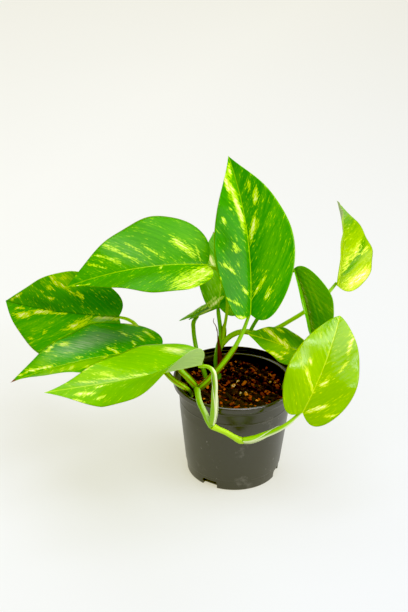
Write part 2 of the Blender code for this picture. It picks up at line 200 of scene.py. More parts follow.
def makeFloorPaint():
    # floor with a painted glow, though no lamp is beneath it: shadows on it stay faint and a little warm
    material, add = makeMaterial("floorWithPaintedGlow")
    place = add("ShaderNodeTexCoord").outputs["Object"]
    tone = add("ShaderNodeMix", add("ShaderNodeTexNoise", place, 2.0, 2.0), hexToLinear("#8A93A8"),
               hexToLinear("#8E96AB"), data_type="RGBA")
    # painted glow, brighter towards the back left, where the lamps light the floor less
    slope = add("ShaderNodeVectorMath", place, studio["glowSlope"], operation="DOT_PRODUCT")
    glow = add("ShaderNodeMapRange", slope.outputs["Value"], *studio["slopeRange"],
               *[share * studio["glow"] for share in studio["glowShares"]])
    return finish(material, colour=tone, roughness=0.85, shine=0.1, glowColour=hexToLinear("#FFF8D8"), glow=glow)


def makeStudio():
    world = bpy.data.worlds.new("studio")
    bpy.context.scene.world = world
    world.use_nodes = True
    dome = world.node_tree.nodes["Background"].inputs
    dome["Color"].default_value = (1, 1, 1, 1)
    dome["Strength"].default_value = studio["dome"]
    for name, lamp in lamps.items():
        light = bpy.data.lights.new(name, "AREA")
        light.shape = "RECTANGLE"
        light.size, light.size_y = lamp["size"]
        light.energy = lamp["power"]
        light.color = hexToLinear(lamp["tint"])[:3]
        holder = bpy.data.objects.new(name, light)
        holder.location = lamp["at"]
        holder.rotation_euler = (Vector(studio["aim"]) - Vector(lamp["at"])).to_track_quat("-Z", "Y").to_euler()
        bpy.context.scene.collection.objects.link(holder)
    shell = bmesh.new()
    bmesh.ops.create_grid(shell, x_segments=1, y_segments=1, size=studio["floorSize"] / 2)
    floor = makeObject("floor", takeMesh("floor", shell), makeFloorPaint())
    floor.location.z = -studio["floorDrop"]
    look = bpy.context.scene.view_settings
    look.view_transform = "Standard"
    look.use_curve_mapping = True
    look.curve_mapping.black_level = studio["black"]
    look.curve_mapping.white_level = studio["white"]
    look.curve_mapping.update()


makeCamera()
makeStudio()
print("camera, light and floor made")

# the pot
pot = dict(rimRadius=53.0, height=90.0, band=5.5, wallTop=47.6, collarHeight=22.0, collar=47.0,
           footStep=10.0, wallLow=41.2, foot=39.6, footInset=0.8, wall=1.2, floor=1.5, edge=0.6, soften=0.7,
           channelInner=17.0, channelOuter=32.0, channelRise=2.0, slope=1.0, sides=192,
           notchAngles=(-119, -17, 68, 158), notchWidth=14.0, notchHeight=6.4, notchDepth=9.0,
           notchCorner=2.0, notchLow=-2.0, cornerSteps=6, lip=2.2, lipHeight=2.6, lipUnder=0.8, lipRound=1.5,
           ridges=((80.4, 1.0), (70.6, 0.8)), ridge=0.35, sharpAbove=40)     # ridges: height and half width


def roundedProfile(points, radius, steps=3):
    # each corner of the profile becomes a short curve
    made = [points[0]]
    for before, corner, after in zip(points, points[1:], points[2:]):
        b, c, a = Vector(before), Vector(corner), Vector(after)
        reach = min(radius, 0.45 * (b - c).length, 0.45 * (a - c).length)
        start, end = c + (b - c).normalized() * reach, c + (a - c).normalized() * reach
        for step in range(steps + 1):
            t = step / steps
            made.append(tuple(start * (1 - t) ** 2 + c * 2 * t * (1 - t) + end * t ** 2))
    return made + [points[-1]]


def turnedMesh(name, profile, sides):
    shell = bmesh.new()
    corners = [shell.verts.new((radius * mm, 0, height * mm)) for radius, height in profile]
    edges = [shell.edges.new(pair) for pair in zip(corners, corners[1:])]
    bmesh.ops.spin(shell, geom=corners + edges, cent=(0, 0, 0), axis=(0, 0, 1), angle=math.tau,
                   steps=sides, use_merge=True)
    bmesh.ops.remove_doubles(shell, verts=shell.verts, dist=0.001 * mm)
    bmesh.ops.recalc_face_normals(shell, faces=shell.faces)
    shell.verts.index_update()
    places = [tuple(corner.co) for corner in shell.verts]
    faces = []
    for face in shell.faces:
        ring = [corner.index for corner in face.verts]
        first = ring.index(min(ring))
        faces.append(ring[first:] + ring[:first])
    shell.free()
    mesh = bpy.data.meshes.new(name)
    mesh.from_pydata(places, [], sorted(faces))     # in one fixed order, so that what is strewn on it stays put
    return mesh


def makePolypropylene():
    # black polypropylene, injection moulded: satin, dulled by handling, with pale dust and fine scuffs; the
    # inside is rougher and painted darker, a painted shade, and the rim is rubbed smooth where it is held
    material, add = makeMaterial("mouldedBlackPolypropylene")
    place = add("ShaderNodeTexCoord").outputs["Object"]
    # to the metre: clouds of 36 mm, moulded grain of 1.1 mm, specks of 3.3 mm and smears of 14 mm
    grains = ((28.0, 3.0), (900.0, 2.0), (300.0, 1.0), (70.0, 4.0, 0.7))
    cloud, fine, specks, smears = (add("ShaderNodeTexNoise", place, *grain) for grain in grains)
    dust = add("ShaderNodeMath", add("ShaderNodeMapRange", specks, 0.755, 0.80, 0.0, 0.5),
               add("ShaderNodeMapRange", smears, 0.60, 0.74, 0.0, 0.22), operation="MAXIMUM")
    around = add("ShaderNodeVectorMath", place, (1.0, 1.0, 0.0), operation="MULTIPLY")
    outward = add("ShaderNodeVectorMath", add("ShaderNodeNewGeometry").outputs["Normal"], around,
                  operation="DOT_PRODUCT")
    shadedInside = add("ShaderNodeMapRange", outward.outputs["Value"], -0.02, -0.005, 0.85, 0.0)
    base = add("ShaderNodeMix", cloud, hexToLinear("#1A1A15"), hexToLinear("#26251E"), data_type="RGBA")
    # the inner faces are painted near black: painted shade inside the pot
    colour = layColours(add, base, (dust, "#A29E92"), (shadedInside, "#0E0D0A"))
    rim = pot["height"] - pot["band"]
    satin = add("ShaderNodeMapRange", cloud, 0.3, 0.7, 0.31, 0.41)
    rubbed = add("ShaderNodeMapRange", add("ShaderNodeSeparateXYZ", place).outputs[2], (rim - 0.3) * mm,
                 (rim + 0.3) * mm, 0.0, 0.16)
    insideRougher = add("ShaderNodeMath", shadedInside, 0.3, operation="MULTIPLY")
    gloss = add("ShaderNodeMath", add("ShaderNodeMath", satin, insideRougher, operation="ADD"), rubbed, operation="SUBTRACT")
    return finish(material, fine, 0.06, 0.2, colour=colour, roughness=gloss, ior=1.49, shine=1.0)


def makePot():
    p = pot
    top, bandFoot, edge, wall, slope = p["height"], p["height"] - p["band"], p["edge"], p["wall"], p["slope"]
    rim, rounding, inner, outer = p["rimRadius"], p["lipRound"], p["channelInner"], p["channelOuter"]
    collarFoot, floor, rise = bandFoot - p["collarHeight"], p["floor"], p["channelRise"]
    ridges = []
    for height, width in reversed(p["ridges"]):
        out = p["collar"] + (p["wallTop"] - p["collar"]) * (height - collarFoot) / p["collarHeight"]
        ridges += [(out, height - width), (out + p["ridge"], height), (out, height + width)]
    profile = [(0, 0), (inner, 0), (inner + slope, rise), (outer - slope, rise), (outer, 0), (p["foot"], 0),
               (p["wallLow"] - p["footInset"], p["footStep"] - edge), (p["wallLow"], p["footStep"]),
               (p["collar"], collarFoot), *ridges, (p["wallTop"], bandFoot - edge), (rim - edge, bandFoot),
               (rim, bandFoot + edge), (rim, top - rounding), (rim - 0.3 * rounding, top - 0.3 * rounding),
               (rim - rounding, top), (rim - p["lip"], top), (rim - p["lip"], top - p["lipHeight"] + p["lipUnder"]),
               (rim - wall, top - p["lipHeight"]), (rim - wall, bandFoot + wall),
               (p["wallTop"] - wall, bandFoot + wall - edge), (p["collar"] - wall, collarFoot),
               (p["wallLow"] - wall, p["footStep"]), (p["foot"] - wall - edge, floor), (outer + 2 * slope, floor),
               (outer + slope, floor + rise), (inner - slope, floor + rise), (inner - 2 * slope, floor), (0, floor)]
    mesh = turnedMesh("nurseryPot", roundedProfile(profile, p["soften"]), p["sides"])
    piece = makeObject("nurseryPot", mesh, makePolypropylene())
    for angle in p["notchAngles"]:
        cutter = makeNotchCutter(angle)
        cut = piece.modifiers.new("notch", "BOOLEAN")
        cut.operation = "DIFFERENCE"
        cut.object = cutter
        depsgraph = bpy.context.evaluated_depsgraph_get()
        piece.data = bpy.data.meshes.new_from_object(piece.evaluated_get(depsgraph))
        piece.modifiers.remove(cut)
        bpy.data.objects.remove(cutter)
    piece.data.shade_smooth()
    piece.data.set_sharp_from_angle(angle=math.radians(p["sharpAbove"]))
    keep(piece, "black_polypropylene", "pot")


def makeNotchCutter(angle):
    half, high, corner = pot["notchWidth"] / 2, pot["notchHeight"], pot["notchCorner"]
    outline = [(-half, pot["notchLow"]), (half, pot["notchLow"])]
    for side, first in ((1, 0), (-1, 90)):
        for step in range(pot["cornerSteps"] + 1):
            a = math.radians(first + 90 * step / pot["cornerSteps"])
            outline.append((side * (half - corner) + corner * math.cos(a), high - corner + corner * math.sin(a)))
    near = pot["foot"] - pot["notchDepth"] / 2
    turn = Matrix.Rotation(math.radians(angle), 4, "Z")
    shell = bmesh.new()
    face = shell.faces.new([shell.verts.new(turn @ (Vector((near, across, height)) * mm))
                            for across, height in outline])
    pushed = bmesh.ops.extrude_face_region(shell, geom=[face])["geom"]
    far = [element for element in pushed if isinstance(element, bmesh.types.BMVert)]
    bmesh.ops.translate(shell, verts=far, vec=turn @ Vector((pot["notchDepth"] * mm, 0, 0)))
    bmesh.ops.recalc_face_normals(shell, faces=shell.faces)
    return makeObject("notchCutter", takeMesh("notchCutter", shell))


makePot()
print("pot made")

# the soil and what lies in it
soil = dict(level=78.5, lean=2.5, lump=1.3, crumb=0.35, sides=144, rings=60, foot=3.8, footInset=1.2, clear=0.3)


def soilHeight(x, y):
    # a slope, broad lumps about 20 mm long and crumbs about 3 mm long
    lean = soil["lean"] * (y - x) / (2 * pot["wallTop"])
    lumps = math.sin(0.31 * x + 1.3) * math.cos(0.27 * y) + 0.6 * math.sin(0.62 * y + 0.4 * x)
    crumbs = math.sin(1.9 * x + 0.7 * y) * math.cos(1.7 * y - 0.5 * x) + 0.6 * math.sin(3.1 * y + 2.3 * x)
    return soil["level"] + lean + soil["lump"] * lumps + soil["crumb"] * crumbs


def makePeat():
    # damp peat and coir: crumbly, matt, nearly black with brown crumbs
    material, add = makeMaterial("dampPeat")
    crumbs = add("ShaderNodeTexNoise", add("ShaderNodeTexCoord").outputs["Object"], 420.0, 4.0, 0.65)   # 2.4 mm
    ramp = tintRamp(add("ShaderNodeValToRGB", crumbs), (0.48, "#0D0704"), (0.80, "#3C1C0B"))
    return finish(material, crumbs, 0.9, 0.8, colour=ramp, roughness=0.92)


def makeSoil():
    shoulder = pot["height"] - pot["band"] - pot["collarHeight"]
    surface = pot["collar"] - pot["wall"] - soil["clear"]
    profile = [(0, soil["foot"]), (pot["foot"] - pot["wall"] - soil["footInset"], soil["foot"]), (surface, shoulder)]
    profile += [(surface * (1 - ring / soil["rings"]), soil["level"]) for ring in range(soil["rings"] + 1)]
    mesh = turnedMesh("pottingSoil", profile, soil["sides"])
    for corner in mesh.vertices:
        if corner.co.z > (shoulder + soil["clear"]) * mm:
            corner.co.z = soilHeight(corner.co.x / mm, corner.co.y / mm) * mm
    mesh.shade_smooth()
    piece = makeObject("pottingSoil", mesh, makePeat())
    keep(piece, "potting_soil", "soil")
    return piece


# pieces to the square metre, their least and greatest sizes, how deep they sit and how far from the pot's axis
bits = dict(
    grains=dict(Density=130000.0, Seed=4, Small=(0.7, 0.6, 0.5), Large=(1.7, 1.4, 1.0), Sink=0.1, Reach=45.0),
    bark=dict(Density=50000.0, Seed=11, Small=(2.0, 1.4, 0.9), Large=(4.4, 3.0, 1.9), Sink=0.1, Reach=43.5),
    chunks=dict(Density=24000.0, Seed=31, Small=(3.4, 2.4, 1.7), Large=(7.4, 4.6, 3.0), Sink=0.3, Reach=42.0),
    coir=dict(Density=20000.0, Seed=23, Small=(2.0, 0.22, 0.22), Large=(5.5, 0.32, 0.32), Sink=-0.2, Reach=42.5),
)
bitsTilt, bitsAbove = 0.3, 70 * mm       # how far up a face looks, and where the soil's surface begins
barkTones = ((0.0, "#0E0704"), (0.46, "#1C0D07"), (0.60, "#5C2410"), (0.76, "#963C10"), (0.88, "#C05A1A"),
             (0.98, "#CC7C30"), (1.0, "#E6CC98"))
bitFinishes = dict(
    grains=("compostedBarkCrumbs", (0.0, "#0C0604"), (0.6, "#1A0C07"), (0.80, "#3E1A0A"), (0.92, "#8A4210"),
            (0.98, "#B8701C"), (1.0, "#D9B184")),
    bark=("pineBarkPieces", *barkTones),
    chunks=("pineBarkChunks", *barkTones),
    coir=("coirFibre", (0.0, "#3A1C08"), (0.6, "#8A4A18"), (1.0, "#C58A45")),
)


def makeBitsTree():
    # strews small many-sided lumps over the upward faces of a surface, each with its own size, turn and tone
    tree, add, given = newTree("strewBits", Geometry="Geometry", Float="Density Sink Reach", Int="Seed",
                               Vector="Small Large", Material="Material")
    up = add("ShaderNodeSeparateXYZ", add("GeometryNodeInputNormal")).outputs[2]
    at = add("ShaderNodeSeparateXYZ", add("GeometryNodeInputPosition")).outputs
    fromAxis = add("ShaderNodeVectorMath", add("ShaderNodeCombineXYZ", at[0], at[1], 0.0), operation="LENGTH")
    # faces that look up, lie high enough and are near enough to the axis
    reach = add("ShaderNodeMath", given["Reach"], mm, operation="MULTIPLY")
    chosen = add("ShaderNodeMath", up, bitsTilt, operation="GREATER_THAN")
    for value, sign, limit in ((at[2], "GREATER_THAN", bitsAbove), (fromAxis.outputs["Value"], "LESS_THAN", reach)):
        chosen = add("ShaderNodeMath", chosen, add("ShaderNodeMath", value, limit, operation=sign),
                     operation="MULTIPLY")
    strewn = add("GeometryNodeDistributePointsOnFaces", given["Geometry"], chosen, given["Density"], given["Seed"])
    lump = add("GeometryNodeMeshIcoSphere", 0.5 * mm, 1)
    knock = add("FunctionNodeRandomValue", (-0.13 * mm,) * 3, (0.13 * mm,) * 3, data_type="FLOAT_VECTOR")
    lump = add("GeometryNodeSetPosition", lump, None, None, knock)
    size = add("FunctionNodeRandomValue", given["Small"], given["Large"], data_type="FLOAT_VECTOR")
    spin = add("FunctionNodeRandomValue", (-0.5, -0.5, 0), (0.5, 0.5, math.tau), data_type="FLOAT_VECTOR")
    laid = add("GeometryNodeInstanceOnPoints", strewn, None, lump, None, None,
               add("FunctionNodeEulerToRotation", spin), size)
    tone = add("FunctionNodeRandomValue", 0.0, 1.0, data_type="FLOAT")
    toned = add("GeometryNodeStoreNamedAttribute", laid, None, "tone", tone, domain="INSTANCE")
    fall = add("ShaderNodeMath", given["Sink"], -mm, operation="MULTIPLY")
    sunk = add("GeometryNodeSetPosition", add("GeometryNodeRealizeInstances", toned), None, None,
               add("ShaderNodeCombineXYZ", 0.0, 0.0, fall))
    add("NodeGroupOutput", add("GeometryNodeSetMaterial", sunk, None, given["Material"]))
    return tree


def makeBark(name, *tones):
    # composted pine bark and coir: torn fibres, dry and matt, from near black to rusty orange
    material, add = makeMaterial(name)
    tone = add("ShaderNodeAttribute", attribute_name="tone").outputs["Fac"]
    grain = add("ShaderNodeTexNoise", add("ShaderNodeTexCoord").outputs["Object"], 900.0, 3.0)     # 1.1 mm
    spread = add("ShaderNodeMath", grain, 0.24, -0.12, operation="MULTIPLY_ADD")
    ramp = tintRamp(add("ShaderNodeValToRGB", add("ShaderNodeMath", spread, tone, operation="ADD")), *tones)
    return finish(material, grain, 0.6, 0.4, colour=ramp, roughness=0.85)


def strewBits(ground):
    tree = makeBitsTree()
    for name, settings in bits.items():
        piece = grow("soil_" + name, tree, {**settings, "Material": makeBark(*bitFinishes[name])}, ground.data.copy())
        keep(piece, "potting_soil")


strewBits(makeSoil())
print("soil and bark made")

# the leaf blades: what they share, how each starts out, and its own sizes
bladeShape = dict(Rows=110, Columns=64, Thickness=0.6, RibWidth=1.7, RibDepth=0.35, RibKeel=0.7,
                  VeinSpacing=6.5, VeinDepth=0.10, VeinLean=1.0, VeinBend=0.012)
bladeStart = dict(sweep=0, fold=20, curl=18, roundBase=0.5, taper=1.05, lobe=0.08, leftShare=1.0,
                  slimLeft=0, slimRight=0, lift=0, liftEnd=1.0, wave=1.2, waves=3.0, phase=0.0)
blades = {
    "blade_upright_centre": dict(
        base=(11, -10, 156), heading=88, pitch=48, roll=2, length=144, width=74, droop=8, sweep=21, fold=34,
        curl=17, roundBase=0.56, leftShare=0.89, taper=0.99, slimLeft=0.3, slimRight=0.4),
    "blade_high_left": dict(
        base=(-26, 15, 188), heading=193, pitch=8, roll=-22, length=120, width=87, droop=27, sweep=9, fold=26,
        lobe=0.04, leftShare=0.95, roundBase=0.48, taper=1.16, phase=1.0, slimLeft=0.35),
    "blade_far_left": dict(
        base=(-101, 24, 131.5), heading=157, pitch=-12, roll=-58, length=128, width=83, droop=11, sweep=-11,
        fold=24, leftShare=1.1, roundBase=0.56, phase=2.0, slimRight=0.2),
    "blade_low_left": dict(
        base=(-64, -12, 120), heading=200, pitch=7, roll=1, length=128, width=86, droop=27, sweep=-8, fold=22,
        roundBase=0.55, taper=1.12, phase=0.6, leftShare=1.03, slimLeft=0.85),
    "blade_front_left": dict(
        base=(-27, -64, 139), heading=195, pitch=-8, roll=-11, length=128, width=80, droop=-4, sweep=-3,
        fold=5, curl=20, leftShare=1.02, roundBase=0.49, taper=1.13, lobe=0.04, lift=78, liftEnd=0.67,
        phase=1.6, slimRight=0.75),
    "blade_low_right": dict(
        base=(56, -55, 90), heading=37, pitch=57, roll=47, length=90, width=60.5, droop=39, sweep=11, fold=19,
        curl=20, leftShare=0.95, roundBase=0.46, taper=0.86, lobe=0.09, phase=0.3),
    "blade_high_right": dict(
        base=(85, 42, 158), heading=72, pitch=42, roll=63, length=90, width=55, droop=36, sweep=-3, fold=36,
        curl=11, lobe=0.06, roundBase=0.6, wave=0.9, waves=4.0, phase=2.2, leftShare=0.96,
        taper=1.08, slimRight=0.6),
    "blade_hanging_right": dict(
        base=(46, 15, 187), heading=-7, pitch=-68, roll=49, length=78, width=51, droop=30, fold=62, curl=16,
        roundBase=0.62, taper=0.83, lobe=0.07, wave=0.6),
    "blade_small_right": dict(
        base=(59, 10, 109), heading=203, pitch=30, roll=-34, length=58, width=37, droop=13, sweep=-6, fold=11,
        curl=23, taper=0.96, lobe=0.1, wave=0.8, phase=0.8, slimRight=0.15),
    "blade_small_left": dict(
        base=(-37, 36, 128), heading=39, pitch=14, roll=-30, length=69, width=47, droop=3, sweep=6, fold=12,
        curl=29, roundBase=0.42, taper=1.02, lobe=0.18, wave=0.8, phase=1.3),
    "blade_back_centre": dict(
        base=(-16, 24, 144), heading=84, pitch=34, roll=34, length=83, width=55, droop=25, sweep=9,
        roundBase=0.45, taper=1.17, lobe=0.1, leftShare=0.95),
}


# the blade's rule, step by step: what is made, the operation, and what it works on
gridSteps = [
    ("rowTurn", "MULTIPLY_ADD", "gridX", math.pi, math.pi / 2), ("rowCosine", "COSINE", "rowTurn"),
    ("rowMade", "MULTIPLY_ADD", "rowCosine", -0.5, 0.5), ("sideMade", "SIGN", "gridY"),
    ("wide", "MULTIPLY", "gridY", 2.0), ("wideAway", "ABSOLUTE", "wide"),
    ("awayMade", "POWER", "wideAway", 1.3), ("acrossMade", "MULTIPLY", "awayMade", "sideMade"),
]
shapeSteps = [
    ("side", "SIGN", "across"), ("away", "ABSOLUTE", "across"), ("isLeft", "GREATER_THAN", "across", 0.0),
    # outline
    ("powers", "ADD", "RoundBase", "Taper"), ("baseShare", "DIVIDE", "RoundBase", "powers"),
    ("tipShare", "DIVIDE", "Taper", "powers"), ("basePart", "POWER", "baseShare", "RoundBase"),
    ("tipPart", "POWER", "tipShare", "Taper"), ("widest", "MULTIPLY", "basePart", "tipPart"),
    ("tipGapRaw", "SUBTRACT", 1.0, "row"), ("tipGap", "MAXIMUM", "tipGapRaw", 0.0),
    ("rowPower", "POWER", "row", "RoundBase"), ("gapPower", "POWER", "tipGap", "Taper"),
    ("bulge", "MULTIPLY", "rowPower", "gapPower"), ("spreadFull", "DIVIDE", "bulge", "widest"),
    ("slimPower", "POWER", "row", 6.0), ("slimMore", "SUBTRACT", "SlimLeft", "SlimRight"),
    ("slimSide", "MULTIPLY_ADD", "slimMore", "isLeft", "SlimRight"),
    ("slimCut", "MULTIPLY", "slimSide", "slimPower"), ("slimKept", "SUBTRACT", 1.0, "slimCut"),
    ("spread", "MULTIPLY", "spreadFull", "slimKept"),
    ("spreadTurn", "MULTIPLY", "spread", math.pi), ("spreadSine", "SINE", "spreadTurn"),
    ("gapCube", "POWER", "tipGap", 3.0), ("lobeSine", "MULTIPLY", "spreadSine", "gapCube"),
    ("lobeBack", "MULTIPLY", "lobeSine", "Lobe"), ("edgeAlong", "SUBTRACT", "row", "lobeBack"),
    ("ribAlong", "POWER", "row", 1.25), ("lean", "SUBTRACT", "edgeAlong", "ribAlong"),
    ("along", "MULTIPLY_ADD", "lean", "away", "ribAlong"),
    ("shareExtra", "SUBTRACT", "LeftShare", 1.0), ("sideShare", "MULTIPLY_ADD", "shareExtra", "side", 1.0),
    ("half", "MULTIPLY", "Width", 0.5), ("halfHere", "MULTIPLY", "half", "sideShare"),
    ("reachShare", "MULTIPLY", "away", "spread"), ("reach", "MULTIPLY", "reachShare", "halfHere"),
    ("shareLow", "MAXIMUM", "along", 0.0), ("share", "MINIMUM", "shareLow", 1.0),
    ("beyond", "SUBTRACT", "along", "share"), ("beyondLength", "MULTIPLY", "beyond", "Length"),
    # the bent midrib, added up along its length
    ("lessTurn", "SUBTRACT", "Droop", "Sweep"), ("moreTurn", "ADD", "Droop", "Sweep"),
    ("lessAngle", "MULTIPLY", "lessTurn", "share"), ("moreAngle", "MULTIPLY", "moreTurn", "share"),
    ("down", "MULTIPLY", "Droop", "share"), ("left", "MULTIPLY", "Sweep", "share"),
    ("lessSine", "SINE", "lessAngle"), ("moreSine", "SINE", "moreAngle"),
    ("lessRun", "DIVIDE", "lessSine", "lessTurn"), ("moreRun", "DIVIDE", "moreSine", "moreTurn"),
    ("runTwice", "ADD", "lessRun", "moreRun"), ("ribX", "MULTIPLY", "runTwice", 0.5),
    ("lessHalf", "MULTIPLY", "lessAngle", 0.5), ("moreHalf", "MULTIPLY", "moreAngle", 0.5),
    ("downHalf", "MULTIPLY", "down", 0.5), ("lessHalfSine", "SINE", "lessHalf"),
    ("moreHalfSine", "SINE", "moreHalf"), ("downHalfSine", "SINE", "downHalf"),
    ("lessSquare", "MULTIPLY", "lessHalfSine", "lessHalfSine"),
    ("moreSquare", "MULTIPLY", "moreHalfSine", "moreHalfSine"),
    ("downSquare", "MULTIPLY", "downHalfSine", "downHalfSine"),
    ("lessFall", "DIVIDE", "lessSquare", "lessTurn"), ("moreFall", "DIVIDE", "moreSquare", "moreTurn"),
    ("ribY", "SUBTRACT", "moreFall", "lessFall"), ("downFall", "DIVIDE", "downSquare", "Droop"),
    ("ribZ", "MULTIPLY", "downFall", -2.0),
    ("cosDown", "COSINE", "down"), ("sinDown", "SINE", "down"), ("cosLeft", "COSINE", "left"),
    ("sinLeft", "SINE", "left"), ("aheadX", "MULTIPLY", "cosDown", "cosLeft"),
    ("aheadY", "MULTIPLY", "cosDown", "sinLeft"), ("aheadZ", "MULTIPLY", "sinDown", -1.0),
    ("leftX", "MULTIPLY", "sinLeft", -1.0),
    # the halves: folded up, curled down, rippled at the margin
    ("liftGone", "DIVIDE", "share", "LiftEnd"), ("liftLeft", "SUBTRACT", 1.0, "liftGone"),
    ("liftHere", "MAXIMUM", "liftLeft", 0.0), ("liftTurn", "MULTIPLY", "liftHere", "Lift"),
    ("foldHere", "MULTIPLY_ADD", "liftTurn", "isLeft", "Fold"),
    ("reachOfHalf", "DIVIDE", "reach", "half"), ("turnedDown", "MULTIPLY", "Curl", "reachOfHalf"),
    ("inner", "SUBTRACT", "foldHere", "turnedDown"), ("sinFold", "SINE", "foldHere"),
    ("cosFold", "COSINE", "foldHere"), ("sinInner", "SINE", "inner"), ("cosInner", "COSINE", "inner"),
    ("outRaw", "SUBTRACT", "sinFold", "sinInner"), ("upRaw", "SUBTRACT", "cosInner", "cosFold"),
    ("arm", "DIVIDE", "half", "Curl"), ("outHalf", "MULTIPLY", "outRaw", "arm"),
    ("sideways", "MULTIPLY", "outHalf", "side"), ("raisedFlat", "MULTIPLY", "upRaw", "arm"),
    ("rippleRun", "MULTIPLY", "Waves", math.tau), ("ripplePhase", "MULTIPLY_ADD", "isLeft", 1.5, "Phase"),
    ("rippleTurn", "MULTIPLY_ADD", "rippleRun", "row", "ripplePhase"), ("rippleSine", "SINE", "rippleTurn"),
    ("rowPi", "MULTIPLY", "row", math.pi), ("rowSine", "SINE", "rowPi"),
    ("awaySquare", "MULTIPLY", "away", "away"), ("rippleEdge", "MULTIPLY", "awaySquare", "rowSine"),
    ("rippleHere", "MULTIPLY", "rippleSine", "rippleEdge"),
    ("raised", "MULTIPLY_ADD", "rippleHere", "Wave", "raisedFlat"),
    # where the side veins run: forward from the midrib and bending on towards the tip
    ("alongMm", "MULTIPLY", "along", "Length"), ("veinOut", "MULTIPLY", "reach", "VeinLean"),
    ("reachSquare", "MULTIPLY", "reach", "reach"), ("veinCurve", "MULTIPLY", "reachSquare", "VeinBend"),
    ("veinNear", "SUBTRACT", "alongMm", "veinOut"), ("veinAt", "SUBTRACT", "veinNear", "veinCurve"),
    ("signedReach", "MULTIPLY", "reach", "side"),
]
reliefSteps = [
    ("awaySix", "POWER", "away", 6.0), ("rimRaw", "SUBTRACT", 1.0, "awaySix"),
    ("rimKept", "MAXIMUM", "rimRaw", 0.0), ("rimRoot", "SQRT", "rimKept"),
    ("endRaw", "MULTIPLY", "planSpread", 5.0), ("endKept", "MINIMUM", "endRaw", 1.0),
    ("closing", "MULTIPLY", "rimRoot", "endKept"),
    ("planShare", "DIVIDE", "planAlong", "Length"), ("ribThin", "MULTIPLY_ADD", "planShare", -0.8, 1.0),
    ("ribHalf", "MULTIPLY", "RibWidth", "ribThin"), ("ribSafe", "MAXIMUM", "ribHalf", 0.3),
    ("planReach", "ABSOLUTE", "planSide"), ("ribOut", "DIVIDE", "planReach", "ribSafe"),
    ("ribSquare", "MULTIPLY", "ribOut", "ribOut"), ("ribNegative", "MULTIPLY", "ribSquare", -1.0),
    ("ribBell", "EXPONENT", "ribNegative"), ("ribFade", "MULTIPLY", "ribBell", "ribThin"),
    ("groove", "MULTIPLY", "ribFade", "RibDepth"), ("keel", "MULTIPLY", "ribFade", "RibKeel"),
    ("veinCount", "DIVIDE", "planVein", "VeinSpacing"), ("veinTurn", "MULTIPLY", "veinCount", math.tau),
    ("veinCosine", "COSINE", "veinTurn"), ("veinBody", "SUBTRACT", 1.0, "ribBell"),
    ("veinEdge", "MULTIPLY", "veinBody", "rimKept"), ("veinHere", "MULTIPLY", "veinCosine", "veinEdge"),
    ("pillow", "MULTIPLY", "veinHere", "VeinDepth"), ("thin", "MULTIPLY", "Thickness", 0.5),
    ("topRaw", "SUBTRACT", "thin", "groove"), ("topSum", "SUBTRACT", "topRaw", "pillow"),
    ("topHeight", "MULTIPLY", "topSum", "closing"),
    ("lowRaw", "ADD", "thin", "keel"), ("lowSum", "ADD", "lowRaw", "pillow"),
    ("lowHeight", "MULTIPLY", "lowSum", "closing"),
    ("topMetres", "MULTIPLY", "topHeight", mm), ("lowMetres", "MULTIPLY", "lowHeight", -mm),
]


